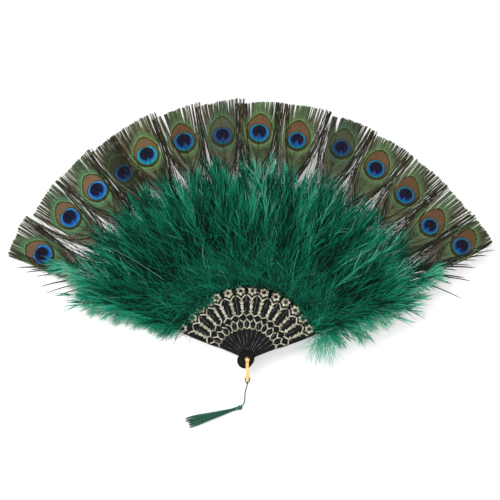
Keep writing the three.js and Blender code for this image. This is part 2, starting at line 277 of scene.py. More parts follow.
# Many closed strands at once. lines holds each strand's middle points, lines[strand, ring].
# At a ring, the corner at an angle a lies at the middle + width cos(a) side + height sin(a) lift,
# where side = up x along and lift = along x side. The last point of a line is the strand's tip.
def strands(lines, widths, heights, up=(0.0, 0.0, 1.0), sides=3, firstAngle=math.pi / 6):
    count, rings = lines.shape[:2]
    along = unit(np.gradient(lines, axis=1))
    side = unit(np.cross(np.broadcast_to(up, along.shape), along))
    lift = np.cross(along, side)
    angles = firstAngle + turnSteps(sides)
    reach = np.cos(angles)[:, None] * (side * widths[..., None])[:, :, None, :]
    rise = np.sin(angles)[:, None] * (lift * heights[..., None])[:, :, None, :]
    corners = (lines[:, :, None, :] + reach + rise)[:, :-1].reshape(count, -1, 3)
    points = np.concatenate([corners, lines[:, -1:]], axis=1)
    pattern = strandPattern(rings - 1, sides)
    offsets = np.arange(count)[:, None, None] * points.shape[1]
    return points.reshape(-1, 3), (pattern + offsets).reshape(-1, 3)


def strandPattern(rings, sides):
    last = (rings - 1) * sides + np.arange(sides)
    tip = np.stack([last, np.roll(last, -1), np.full(sides, rings * sides)], -1)
    return np.concatenate([gridFaces(rings, sides), tip, capFaces(sides)])


def perStrand(values, sides):  # one number a ring, given to all the points of the ring
    return np.concatenate([np.repeat(values[:, :-1], sides, axis=1), values[:, -1:]], axis=1)


# A heading that turns along the line: each step points at heading + turn share + sway sin(...)
def curledLines(roots, heading, turn, length, climb, fall, rings, sway=None, phase=None):
    share = np.linspace(0, 1, rings)
    angle = heading[:, None] + turn[:, None] * share
    if sway is not None:
        angle = angle + sway[:, None] * np.sin(fullTurn * share + phase[:, None])
    step = length[:, None] / (rings - 1)
    middle = (angle[:, 1:] + angle[:, :-1]) / 2
    start = np.zeros((len(roots), 1))
    x = np.concatenate([start, np.cumsum(np.cos(middle) * step, axis=1)], axis=1)
    y = np.concatenate([start, np.cumsum(np.sin(middle) * step, axis=1)], axis=1)
    z = climb[:, None] * share - fall[:, None] * share**2
    return roots[:, None, :] + np.stack([x, y, z], -1)


def turnedAboutPin(points, degrees):
    angle = math.radians(degrees)
    x = points[..., 0] * math.cos(angle) - points[..., 1] * math.sin(angle)
    y = points[..., 0] * math.sin(angle) + points[..., 1] * math.cos(angle)
    return np.stack([x, y, points[..., 2]], -1)


# Sweeps: a section carried along a flat path, with the path's own heading at every point.
# The section's points are (across, up); scale makes it narrower or wider along the path.
def swept(path, section, scale, level):
    along = unit(np.gradient(path, axis=0))
    across = np.stack([-along[:, 1], along[:, 0]], -1)
    reach = (section[:, 0] * scale[:, None])[..., None] * across[:, None, :]
    rise = level + section[:, 1] * np.minimum(scale, 1)[:, None]
    points = np.concatenate([path[:, None, :] + reach, rise[..., None]], -1)
    return points.reshape(-1, 3), gridFaces(len(path), len(section), capped=True)[:, ::-1]


def joined(parts):
    points, faces, start = [], [], 0
    for part, triangles in parts:
        points.append(part)
        faces.append(triangles + start)
        start += len(part)
    return np.concatenate(points), np.concatenate(faces)


def joinedWithUV(made):
    points, faces = joined([(p, f) for p, f, uv in made])
    return points, faces, np.concatenate([uv for p, f, uv in made])


# Each stretch between two points is the cubic that has its neighbours' mean heading at each end
def smoothPath(points, steps):
    known = np.asarray(points, float)
    first, last = 2 * known[:1] - known[1:2], 2 * known[-1:] - known[-2:-1]
    padded = np.concatenate([first, known, last])
    t = np.linspace(0, 1, steps, endpoint=False)[None, :, None]
    a, b, c, d = (padded[i : len(known) - 1 + i, None, :] for i in range(4))
    curve = b + t * (c - a) / 2
    curve = curve + t**2 * (2 * a - 5 * b + 4 * c - d) / 2 + t**3 * (3 * b - a - 3 * c + d) / 2
    return np.concatenate([curve.reshape(-1, known.shape[1]), known[-1:]])


# A round skin about a path: path + reach (cos(a) side + sin(a) lift), with a reach for each corner
def tube(path, along, reach, sides):
    side = unit(np.cross((0.0, 0.0, 1.0), along))
    lift = np.cross(along, side)
    angles = turnSteps(sides)[None, :, None]
    outward = np.cos(angles) * side[:, None] + np.sin(angles) * lift[:, None]
    return (path[:, None] + reach[..., None] * outward).reshape(-1, 3)


# A rope: its plies stand out as lobes that turn round the path once a pitch.
# reach(angle, length) = radius (1 - groove + groove cos(plies (angle - turns length / pitch)))
def rope(path, radius, plies, pitch, groove, sides=18):
    gone = np.concatenate([[0], np.cumsum(np.linalg.norm(np.diff(path, axis=0), axis=1))])
    lobes = np.cos(plies * (turnSteps(sides) - fullTurn * gone[:, None] / pitch))
    points = tube(path, unit(np.gradient(path, axis=0)), radius * (1 - groove + groove * lobes), sides)
    return points, gridFaces(len(path), sides, capped=True)


def gridFaces(rows, around, capped=False, closed=False):
    here = np.arange(rows * around).reshape(rows, around)
    ahead = np.roll(here, -1, axis=0) if closed else here[1:]
    here = here if closed else here[:-1]
    beside, beyond = np.roll(here, -1, axis=1), np.roll(ahead, -1, axis=1)
    faces = [[here, beside, beyond], [here, beyond, ahead]]
    faces = [np.stack(corners, -1).reshape(-1, 3) for corners in faces]
    if capped:
        first = capFaces(around)
        faces += [first, (rows - 1) * around + first[:, ::-1]]
    return np.concatenate(faces)


def capFaces(around):  # closes the first ring of a grid
    inner = np.arange(1, around - 1)
    return np.stack([np.zeros_like(inner), inner + 1, inner], -1)


# Cord and tassel. The cord loops round the bail's bend, and its route is listed.

cord = {
    "radius": 0.6, "plies": 3, "pitch": 3.6, "groove": 0.14, "steps": 12,
    "barY": -20.6, "loopRadius": 2.51, "loopSquash": 0.88, "loopHeight": 3.9, "loopFrom": -66,
    "loopTo": 246, "loopPoints": 16, "knotY": -23.74, "knotRadius": 0.9, "knotThread": 0.42,
    "knotRings": 60, "knotSides": 10,
    "route": [
        (-0.1, -25.3, 3.7), (-0.7, -27.6, 2.8), (-1.5, -30.4, 1.4), (-2.1, -33.4, 0.75),
        (-2.5, -36.6, 0.65), (-2.5, -40, 0.65), (-2.9, -42.9, 0.8), (-4.1, -45.1, 1.4),
        (-5.6, -46.6, 2.1),
    ],
}
tassel = {
    "angle": 196.5, "threads": 250, "length": 54, "start": 1.9, "threadWidth": 0.28, "rings": 9,
    "reaches": [2, 5, 9, 19, 34, 47, 60], "halfWidths": [1.3, 1.25, 1.35, 2.5, 4.1, 5.8, 6.2],
    "halfHeights": [1.3, 1.3, 1.4, 1.8, 1.8, 1.6, 1.5], "floorGap": 0.3, "clumps": 5,
    "clumpLength": 1.1, "clumpPull": 0.45, "clumpTone": 0.08, "tone": (0.5, 0.2), "sway": 0.3,
    "upperLoose": 5, "upperReach": 3.6, "lowerLoose": 5, "lowerReach": 1.6, "endWidth": 0.65,
    "headRows": 25, "headPole": 0.02, "headRidges": 22, "headRidgeSides": 6, "headGroove": 0.035,
    "headLength": 1.16, "headWidth": 0.94, "bindingTurns": 4, "bindingWidth": 1.9,
    "bindingStart": 2.6, "bindingRadius": 1.6, "bindingThread": 0.26, "bindingRings": 36,
    "bindingSides": 8,
}
threadTones = [(0.3, (16, 56, 42)), (0.52, (44, 108, 84)), (0.78, (100, 158, 132))]
cordTones = [(0.3, (18, 46, 40)), (0.52, (48, 76, 70)), (0.78, (98, 126, 118))]
bindingTones = [(0.3, (38, 98, 78)), (0.52, (86, 148, 122)), (0.78, (150, 196, 176))]


def threadFinish(name, grain, tones):  # satin thread: the noise that raises its bumps also paints them lighter, a painted sheen where it stands out
    finish = Finish(name)
    streaks = finish.noise(finish.place(), grain, 4.0)
    relief = finish.bump(streaks, 0.1 * mm, 0.5)
    return finish.shade(
        Base_Color=finish.ramp(streaks, *tones), Roughness=streaks * 0.3 + 0.42, Normal=relief,
        Specular_IOR_Level=0.3,
    )


def strandFinish(name, tones):  # u is the strand's own shade, v runs from its root to its tip
    finish = Finish(name)
    shade, along = finish.mapUV("OFBake")
    colour = finish.ramp(shade * 0.8 + along * 0.2, *tones)
    return finish.shade(Base_Color=colour, Roughness=0.55 - shade * 0.12, Specular_IOR_Level=0.3)


def cordPath():
    turns = np.radians(np.linspace(cord["loopFrom"], cord["loopTo"], cord["loopPoints"]))
    x = cord["loopRadius"] * cord["loopSquash"] * np.cos(turns)
    y = cord["loopRadius"] * np.sin(turns) + cord["barY"]
    loop = np.column_stack([x, y, np.full(len(x), cord["loopHeight"])])
    return smoothPath(np.concatenate([loop, cord["route"]]), cord["steps"])


def addCord(finish):
    path = cordPath()
    points, faces = rope(path, cord["radius"], cord["plies"], cord["pitch"], cord["groove"])
    piece = addMesh("twisted_cord", points, faces, finish)
    return piece, path


def addKnot(finish):  # a trefoil: (sin t + 2 sin 2t, cos t - 2 cos 2t, -sin 3t), drawn small
    rings, sides = cord["knotRings"], cord["knotSides"]
    t = turnSteps(rings)
    x, y = np.sin(t) + 2 * np.sin(2 * t), np.cos(t) - 2 * np.cos(2 * t)
    curve = np.stack([x, y, -np.sin(3 * t)], -1)
    path = curve * cord["knotRadius"] / 3 + (0, cord["knotY"], cord["loopHeight"])
    along = unit(np.roll(path, -1, axis=0) - np.roll(path, 1, axis=0))
    points = tube(path, along, np.full((rings, sides), cord["knotThread"]), sides)
    return addMesh("cord_wraps", points, gridFaces(rings, sides, closed=True), finish)


def cadBoxOf(node):
    return (np.array(corner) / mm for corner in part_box(node))


def tasselFrame(points):  # from the head's centre, with +X along the tassel, to where it lies
    low, high = cadBoxOf("tassel_head")
    return turnedAboutPin(points, tassel["angle"]) + (low + high) / 2


# The head is an egg wound with thread: radius (1 - groove + groove cos(ridges longitude))
def addHead(finish):
    low, high = cadBoxOf("tassel_head")
    rows, around = tassel["headRows"], tassel["headRidges"] * tassel["headRidgeSides"]
    polar = np.linspace(tassel["headPole"], math.pi - tassel["headPole"], rows)[:, None]
    turn = turnSteps(around)[None, :]
    groove = tassel["headGroove"] * np.sin(polar)
    reach = (high - low)[2] / 2 * (1 - groove + groove * np.cos(tassel["headRidges"] * turn))
    x = -reach * np.cos(polar) * tassel["headLength"]
    radius = reach * np.sin(polar) * tassel["headWidth"]
    points = np.stack([x, radius * np.cos(turn), radius * np.sin(turn)], -1).reshape(-1, 3)
    return addMesh("wound_head", tasselFrame(points), gridFaces(rows, around, capped=True), finish)


def addBinding(finish):  # a few rings of thread side by side round the neck
    rings, sides = tassel["bindingRings"], tassel["bindingSides"]
    turn, angles = turnSteps(rings)[:, None], turnSteps(sides)[None, :]
    radius = tassel["bindingRadius"] + tassel["bindingThread"] * np.cos(angles)
    wraps = []
    for wrap in range(tassel["bindingTurns"]):
        x = tassel["bindingStart"] + tassel["bindingWidth"] * (wrap + 0.5) / tassel["bindingTurns"]
        along = x + tassel["bindingThread"] * np.sin(angles) + 0 * turn
        points = np.stack([along, radius * np.cos(turn), radius * np.sin(turn)], -1).reshape(-1, 3)
        wraps.append((tasselFrame(points), gridFaces(rings, sides, closed=True)[:, ::-1]))
    return addMesh("neck_wraps", *joined(wraps), finish)


# Threads leave the neck in a round bundle, spread flat on the floor and end in a few clumps.
# A thread lies at y = width r cos(a) and z = height r sin(a), with r and a its own.
def addSkirt(finish):
    rng = np.random.default_rng(7)
    count, rings = tassel["threads"], tassel["rings"]
    angle, depth = rng.uniform(0, fullTurn, count), np.sqrt(rng.uniform(0, 1, count))
    share = np.linspace(0, 1, rings)
    across = depth * np.cos(angle)
    clump = np.floor((across + 1) / 2 * tassel["clumps"]).astype(int)
    middle = (clump + 0.5) / tassel["clumps"] * 2 - 1
    shift = rng.normal(0, 1, (2, tassel["clumps"]))
    length = tassel["length"] * rng.uniform(0.96, 1.0, count)
    length = length + shift[0][clump] * tassel["clumpLength"]
    x = tassel["start"] + length[:, None] * share
    gathered = across[:, None] + (middle - across)[:, None] * tassel["clumpPull"] * share**5
    y = gathered * np.interp(x, tassel["reaches"], tassel["halfWidths"])
    upper = np.arange(count) < tassel["upperLoose"]
    lower = np.arange(count) >= count - tassel["lowerLoose"]
    loose = rng.uniform(0.5, 1, count)[:, None]
    y = np.where(upper[:, None], -(abs(y) + tassel["upperReach"] * loose * share**2), y)
    y = np.where(lower[:, None], abs(y) + tassel["lowerReach"] * loose * np.sin(math.pi * share), y)
    sway = rng.normal(0, tassel["sway"], (count, 1)) * np.sin(fullTurn * share + angle[:, None])
    height = np.interp(x, tassel["reaches"], tassel["halfHeights"])
    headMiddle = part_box("tassel_head")[1].z / mm / 2
    centre = (height + tassel["floorGap"] - headMiddle) * np.minimum(share * 4, 1)
    z = centre + (depth * np.sin(angle))[:, None] * height
    lines = tasselFrame(np.stack([x, y + sway * share, z], -1))
    thinned = 1 - (1 - tassel["endWidth"]) * share**6
    widths = tassel["threadWidth"] * thinned * np.ones((count, 1))
    points, faces = strands(lines, widths, widths)
    shade = rng.normal(*tassel["tone"], count) + shift[1][clump] * tassel["clumpTone"]
    shade = shade.clip(0.02, 0.97)
    return addMesh("thread_skirt", points, faces, finish, strandUV(shade, rings))


def strandUV(shade, rings, spread=0.008, sides=3):  # round a strand the shade drifts a little
    around = np.tile(np.linspace(-spread, spread, sides), rings - 1)
    u = np.concatenate([shade[:, None] + around, shade[:, None]], axis=1)
    v = perStrand(np.tile(np.linspace(0, 1, rings), (len(shade), 1)), sides)
    return np.stack([u, v], -1).reshape(-1, 2)


def addTassel():
    corded = threadFinish("cord_thread", 900, cordTones)
    flex, path = addCord(corded)
    knot, head = addKnot(corded), addHead(threadFinish("wound_thread", 1400, threadTones))
    binding = addBinding(threadFinish("binding_thread", 1400, bindingTones))
    skirt = addSkirt(strandFinish("satin_threads", threadTones))
    for piece, node, slot in (
        (flex, "tassel_cord", "cord"), (knot, "cord_knot", "cord"),
        (head, "tassel_head", "tassel_thread"), (binding, "tassel_binding", "tassel_thread"),
        (skirt, "tassel_skirt", "tassel_thread"),
    ):
        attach(piece, "tassel")
        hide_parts(node)
    path = path * mm


addTassel()


# Feathers. Along a feather s counts from the middle of its eye to the tip, and t is across it.

feather = {
    "eyePixels": [
        (42.9, 254.7), (70.3, 217.9), (97.5, 190.4), (123.9, 173.0), (147.3, 155.6), (184.1, 141.7),
        (222.6, 135.3), (259.3, 132.5), (297.2, 139.4), (341.4, 147.6), (375.8, 168.3), (405.7, 194.5),
        (430.4, 225.3), (461.9, 246.0),
    ],
    "tones": ["blue", "blue", "blue", "coveredAndShaded", "turquoise", "green", "olive", "green", "green",
              "olive", "green", "green", "green", "green"],
    "eyeTurns": [0, -9, 0, 0, -8, 0, -3, -3, 3, 10, 10, 22, 16, 24],
    "shine": [1.1, 1.15, 1.3, 1.0, 1.15, 0.9, 0.95, 1.05, 0.98, 0.74, 0.9, 0.8, 0.86, 0.76],
    "notchTops": [-1.8, -1.8, -1.8, -1, -1.5, 0, -0.5, -0.2, -0.2, -2, -2, -1.6, -2, -2],
    "discSizes": [1, 1, 0.98, 0.92, 1.02, 1, 0.92, 0.97, 0.88, 0.9, 0.92, 0.9, 0.86, 0.92],
    "reaches": [264, 261.5, 262.5, 261, 263.5, 260.7, 260, 258.5, 260.7, 261.2, 261.6, 263.4, 266,
                271],
    "cutTilt": 3, "cutRoughness": 0.4, "cutJitter": (-0.8, 0.3), "barbBack": 54, "barbPast": 7,
    "barbCount": 120, "bunching": 0.7, "rootJitter": 0.15, "inset": 0.12, "barbRings": 12,
    "barbWidth": 0.42, "looseWidth": 0.23, "barbHeight": 0.05, "level": 0.36, "levelSpread": 0.1,
    "looseLift": 0.22, "levels": (0.06, 1.1), "slope": 0.5, "slopeRise": 0.25, "sway": 0.35,
    "early": 0.1, "earlyFrom": 14, "clump": 7, "clumpTilt": 0.45, "squeeze": 0.85, "freeFrom": 16,
    "freeFall": 64, "freeOver": 11, "flare": 0.15, "outerRooms": (13.5, 14), "nearest": 13,
    "outerFlares": (0.15, -0.1), "roomPast": 3.5, "wideLeft": {4: 25}, "darkPast": 0.78,
    "darkening": 1.2, "clumpTone": 0.5, "barbTone": 0.8, "shelfEdges": [-0.2, 0.85],
    "fullWithin": (1.2, 1.75), "widths": (0.8, 1.15), "swayTurn": 5, "patternJitter": 0.22,
    "shelves": 5, "mapBehind": 95, "mapAhead": 55, "mapHalfWidth": 42,
    "quillWidth": 0.7, "quillTipWidth": 0.2, "quillHeight": 0.22, "quillStart": 46, "quillPast": 2,
    "quillRings": 30, "quillSides": 8, "quillLevels": (0.34, 0.3),
}
herlForm = {
    "each": 10, "roots": (118, 196), "spread": (0.62, 1.16), "shortBy": 30, "bendAlong": (0.3, 0.5),
    "bendAcross": (0.6, 1), "rings": 12, "width": 0.58, "taper": 0.5, "widths": (0.7, 1.2),
    "flatness": 0.4, "sway": 0.8, "swayTurn": 7, "levels": (0.1, 0.9), "pale": 0.12,
    "paleTones": (0.7, 0.95), "darkTones": (0.05, 0.5), "wispWidth": 1.7, "wispTaper": 0.75,
    "wispBend": (0.5, 0.25),
}
wisps = {  # loose barbs at both ends of the fan: the pixel where one ends, and its root's reach
    0: [((16, 267.6), 190), ((23, 272.5), 187), ((33.5, 277), 184), ((30, 270), 192), ((38, 288), 174),
        ((43, 294.5), 166), ((56.5, 296.5), 160), ((62, 276), 190), ((70, 282), 184)],
    13: [((498, 249.5), 192), ((479, 260), 198), ((472, 265.5), 194), ((477, 268), 188),
         ((467, 278.5), 176), ((473.5, 281.7), 174), ((464, 299), 166), ((488, 256), 196),
         ((458, 271), 190), ((452, 284), 176)],
}
eye = {
    "ringMiddle": 1.3, "ringAhead": 18.7, "ringBehind": 13.8, "ringHalfWidth": 13.5, "taper": 0.42,
    "discBottom": -8.9, "discHalfLength": 9.1, "discHalfWidth": 9.9, "discTop": 8.3,
    "heartAhead": 1.25, "heartHalfLength": 6.6, "heartHalfWidth": 7.1,
    "notchSlope": 0.5,
}
eyeTones = {
    "green": {
        "crown": 0.7, "halo": (134, 174, 118), "ring": (168, 200, 116), "copper": (148, 108, 74),
        "rim": (50, 164, 200), "disc": (32, 92, 206), "teal": (20, 172, 190),
    },
    "blue": {
        "crown": 0.3, "halo": (116, 176, 128), "ring": (150, 200, 134), "copper": (156, 122, 90),
        "rim": (70, 168, 236), "disc": (34, 92, 226), "teal": (48, 176, 228),
    },
    "turquoise": {
        "crown": 0.2, "halo": (136, 172, 116), "ring": (178, 212, 118), "copper": (158, 120, 84),
        "rim": (50, 206, 206), "disc": (38, 128, 220), "teal": (26, 206, 196),
    },
    "olive": {
        "crown": 0.6, "halo": (116, 158, 122), "ring": (134, 168, 116), "copper": (112, 118, 88),
        "rim": (58, 118, 170), "disc": (44, 84, 168), "teal": (50, 124, 144),
    },
    # an eye lying under the next feather's barbs: duller, darker tones, partly the covering barbs' colour and
    # partly their painted shade
    "coveredAndShaded": {
        "crown": 0.5, "halo": (70, 84, 62), "ring": (104, 124, 78), "copper": (66, 70, 52),
        "rim": (54, 112, 156), "disc": (36, 84, 150), "teal": (46, 120, 136),
    },
}
sharedTones = {  # the colours that every eye has
    "haloSpeck": (82, 94, 64), "haloShade": (56, 58, 40), "ringEdge": (76, 88, 48),
    "copperRoot": (84, 62, 44), "copperSpeck": (130, 112, 74), "discEdge": (26, 44, 40),
    "heart": (20, 12, 48),
}
vaneTones = [(46, 38, 27), (108, 99, 68), (156, 142, 114)]  # dark, olive and light barbs
herlTones = {"dark": (26, 20, 15), "body": (56, 48, 36), "light": (150, 138, 116)}
quillTone = (120, 104, 76)


# The eye's levels: 1 on the outline of the egg-shaped ring, of the disc and of the heart, and for
# the heart's notch the depth inside it
def eyeLevels(s, t, size, notchTop):
    past = s - eye["ringMiddle"]
    ahead = past.orMore(0) / eye["ringAhead"]
    behind = past.orLess(0) / eye["ringBehind"]
    width = t * (ahead * ahead * eye["taper"] + 1) / eye["ringHalfWidth"]
    ring = (width * width + ahead * ahead + behind * behind).root()
    middle = eye["discBottom"] + eye["discHalfLength"] * size
    long = (s - middle) / (eye["discHalfLength"] * size)
    wide = t / (eye["discHalfWidth"] * size)
    disc = (long * long + wide * wide).root().orMore(s / (eye["discTop"] * size))
    long = (s - middle - eye["heartAhead"] * size) / (eye["heartHalfLength"] * size)
    wide = t / (eye["heartHalfWidth"] * size)
    heart = (long * long + wide * wide).root()
    notch = (notchTop - s) * eye["notchSlope"] - abs(t)
    return ring, disc, heart, notch


def peacockFinish(stick):
    tones, shared = eyeTones[feather["tones"][stick]], sharedTones
    finish = Finish(numbered("peacock", stick))
    u, v = finish.mapUV("OFBake")
    shelves = v * feather["shelves"]
    shelf = shelves.floor()
    t = (shelves - shelf) * (2 * feather["mapHalfWidth"]) - feather["mapHalfWidth"]
    s = u * (feather["mapBehind"] + feather["mapAhead"]) - feather["mapBehind"]
    spot = finish.node("CombineXYZ", None, {0: s, 1: t, 2: shelf * 17.3})
    speckle = finish.noise(spot, 1.5, 2.0)
    patches = finish.noise(spot, 0.16, 2.0)
    size, notchTop = feather["discSizes"][stick], feather["notchTops"][stick]
    ring, disc, heart, notch = eyeLevels(s, t, size, notchTop)
    ring = ring + (speckle - 0.5) * 0.07
    vane = finish.ramp(shelf / 4, (0, vaneTones[0]), (0.25, vaneTones[1]), (0.5, vaneTones[2]))
    vane = finish.mixed(speckle.rising(0.5, 0.7) * 0.6, vane, vaneTones[0])
    vane = finish.mixed(patches.rising(0.45, 0.65) * 0.25, vane, tones["halo"])
    halo = finish.mixed(speckle.rising(0.4, 0.6) * 0.5, tones["halo"], shared["haloSpeck"])
    halo = finish.mixed(shelf.falling(0.4, 0.6) * 0.25, halo, shared["haloShade"])
    along = s.rising(8, 16).orMore(s.rising(-44, -26) * s.falling(-18, -10))
    crown = along * abs(t).falling(5, 12) * tones["crown"] * (0.55 + s.rising(-5, 5) * 0.45)
    colour = finish.mixed(ring.falling(1.12, 1.5).orMore(crown), vane, halo)
    colour = finish.mixed(ring.falling(1.02, 1.05), colour, tones["ring"])
    colour = finish.mixed(ring.falling(0.97, 0.995), colour, shared["ringEdge"])
    inner = finish.mixed(s.rising(-7, 3), shared["copperRoot"], tones["copper"])
    inner = finish.mixed(speckle.rising(0.45, 0.75) * 0.3, inner, shared["copperSpeck"])
    colour = finish.mixed(ring.falling(0.85, 0.9), colour, inner)
    colour = finish.mixed(disc.falling(1.04, 1.1), colour, shared["discEdge"])
    rim = finish.mixed(s.falling(-6, 0), tones["rim"], tones["teal"])
    colour = finish.mixed(disc.falling(0.98, 1.03), colour, rim)
    blue = finish.mixed(notch.rising(-1, 1.2) * 0.3, tones["disc"], tones["teal"])
    colour = finish.mixed(disc.falling(0.7, 0.93), colour, blue)
    dark = heart.falling(0.92, 1.03) * notch.falling(-0.8, 0.8)
    colour = finish.mixed(dark, colour, shared["heart"])
    # each feather's colours are multiplied by its shine: painted light, some feathers drawn brighter as if they
    # caught more light
    lit = 255 * feather["shine"][stick] ** 0.45
    colour = finish.mixed(1, colour, (lit, lit, lit), "MULTIPLY")
    herlStops = [(0, herlTones["dark"]), (0.6, herlTones["body"]), (1, herlTones["light"])]
    herl = finish.ramp(shelves - shelf, *herlStops)
    colour = finish.mixed(shelf.rising(2.4, 2.6), colour, herl)
    colour = finish.mixed(shelf.rising(3.4, 3.6), colour, quillTone)
    rough = 0.62 - ring.falling(0.9, 1.1) * 0.2 + speckle * 0.1
    return finish.shade(Base_Color=colour, Roughness=rough, Specular_IOR_Level=0.3)


def featherUV(s, t, shelf):
    u = (s + feather["mapBehind"]) / (feather["mapBehind"] + feather["mapAhead"])
    across = np.clip(0.5 + t / (2 * feather["mapHalfWidth"]), 0.01, 0.99)
    return np.stack([np.clip(u, 0.002, 0.998), (shelf + across) / feather["shelves"]], -1)


def sideRooms(stick):  # how far a feather may spread to its left and to its right, in mm
    places = np.array(feather["eyePixels"])
    rooms = []
    for beside in (stick - 1, stick + 1):
        if beside in sticks:
            gap = np.linalg.norm(places[stick] - places[beside])
            rooms.append(min(gap / 2 + feather["roomPast"], gap - feather["nearest"]))
        else:
            rooms.append(feather["outerRooms"][0 if beside < 0 else 1])
    return [feather["wideLeft"].get(stick, rooms[0]), rooms[1]]


# Where a feather is cut off: a straight line that reaches a little further on the right
def cutEdge(reach, across):
    return reach - feather["cutTilt"] * (0.5 + across / (2 * feather["outerRooms"][0])).clip(0, 1)


# Barbs curve from the quill towards the tip: across = spread tanh(gone slope / spread), where
# spread = room q^0.8 - inset and q falls from 1 at the first barb to 0 at the last. Their roots
# stand closer towards the tip. From loose on they flare and draw together in clumps.
def barbs(rng, stick, reach, eyeReach, rooms):
    each, rings = feather["barbCount"], feather["barbRings"]
    count, side = 2 * each, np.repeat([1.0, -1.0], each)
    first, last = eyeReach - feather["barbBack"], eyeReach + feather["barbPast"]
    roots = np.tile(first + (last - first) * np.linspace(0, 1, each) ** feather["bunching"], 2)
    roots = roots + rng.uniform(-1, 1, count) * feather["rootJitter"]
    q = ((last - roots) / (last - first)).clip(0.00001, 1)
    spread = (np.repeat(rooms, each) * q**0.8 - feather["inset"]).clip(0.02)
    clump, tilt, tone = clumpsOf(rng, count)
    middles = np.bincount(clump, spread) / np.maximum(np.bincount(clump), 1)
    gone = barbLengths(rng, roots, side * spread, clump, reach, eyeReach)
    tone = tone * feather["clumpTone"] - feather["darkening"] * (q > feather["darkPast"])
    columns = (row[:, None] for row in (q, spread, side, tilt, middles[clump]))
    q, spread, side, tilt, middle = columns
    share = np.append(np.linspace(0, 1, rings - 1) ** 1.25 * 0.985, 1)
    along = gone[:, None] * share
    x = roots[:, None] + along
    out = spread * np.tanh(along * (feather["slope"] + feather["slopeRise"] * q) / spread)
    loose = eyeReach + feather["freeFrom"] - feather["freeFall"] * q**2
    free = ((x - loose) / (feather["freeOver"] * (1 + q))).clip(0, 1)
    free = free**2 * (3 - 2 * free)
    flare = np.repeat(sideFlares(stick), each)[:, None]
    drawn = out + flare * q * (x - eyeReach).clip(0)
    pull = (middle - spread) * feather["squeeze"] * q**0.5
    ease = q**0.35
    y = side * (drawn + free * (pull + ease * tilt * feather["clumpTilt"]))
    sway = rng.normal(0, feather["sway"], (count, 1))
    sway = sway * np.sin(share * feather["swayTurn"] + rng.uniform(0, 6, (count, 1)))
    y = y + sway * (0.2 + free) * ease
    z = feather["level"] + rng.uniform(-1, 1, (count, 1)) * feather["levelSpread"]
    z = z + free * rng.normal(0, feather["looseLift"], (count, 1))
    lines = np.stack([x, y, z.clip(*feather["levels"])], -1)
    widths = barbWidths(x - eyeReach, out) * rng.uniform(*feather["widths"], (count, 1))
    points, faces = strands(lines, widths, np.full_like(widths, feather["barbHeight"]))
    ahead = perStrand(x + rng.normal(0, feather["patternJitter"], (count, 1)), 3).ravel() - eyeReach
    aside = points[:, 1] + perStrand(side * out - y, 3).ravel()  # as if no clump had moved it
    turn = math.radians(feather["eyeTurns"][stick])
    s = ahead * math.cos(turn) + aside * math.sin(turn)
    t = aside * math.cos(turn) - ahead * math.sin(turn)
    tone = tone + rng.normal(0, feather["barbTone"], count)
    shelf = np.digitize(tone, feather["shelfEdges"])
    return points, faces, featherUV(s, t, np.repeat(shelf, rings * 3 - 2))


def clumpsOf(rng, count):  # each barb's clump, with the tilt and the tone of that clump
    breaks = rng.uniform(0, 1, count) < 1 / feather["clump"]
    breaks[count // 2] = True
    clump = np.cumsum(breaks)
    return clump, *rng.normal(0, 1, (2, clump.max() + 1))[:, clump]


def barbLengths(rng, roots, across, clump, reach, eyeReach):  # to the cut; a few end earlier
    count = len(roots)
    edge = cutEdge(reach, across) + rng.uniform(*feather["cutJitter"], count)
    edge = edge + rng.normal(0, feather["cutRoughness"], clump.max() + 1)[clump]
    gone = np.sqrt(np.maximum(edge**2 - across**2, 1)) - roots
    early = rng.uniform(0, 1, count) < feather["early"]
    stop = eyeReach + rng.uniform(feather["earlyFrom"], reach - eyeReach, count) - roots
    return np.maximum(np.where(early, np.minimum(gone, stop), gone), 2)


def sideFlares(stick):  # how much the barbs flare on the feather's left and on its right
    (left, right), inner = feather["outerFlares"], feather["flare"]
    return [left if stick == 0 else inner, right if stick == lastStick else inner]


def barbWidths(ahead, aside):  # full width in the eye, thinner outside its ring
    past = ahead - eye["ringMiddle"]
    length = np.where(past > 0, eye["ringAhead"], eye["ringBehind"])
    level = np.hypot(past / length, aside / eye["ringHalfWidth"])
    inner, outer = feather["fullWithin"]
    full = ((outer - level) / (outer - inner)).clip(0, 1)
    return feather["looseWidth"] + (feather["barbWidth"] - feather["looseWidth"]) * full


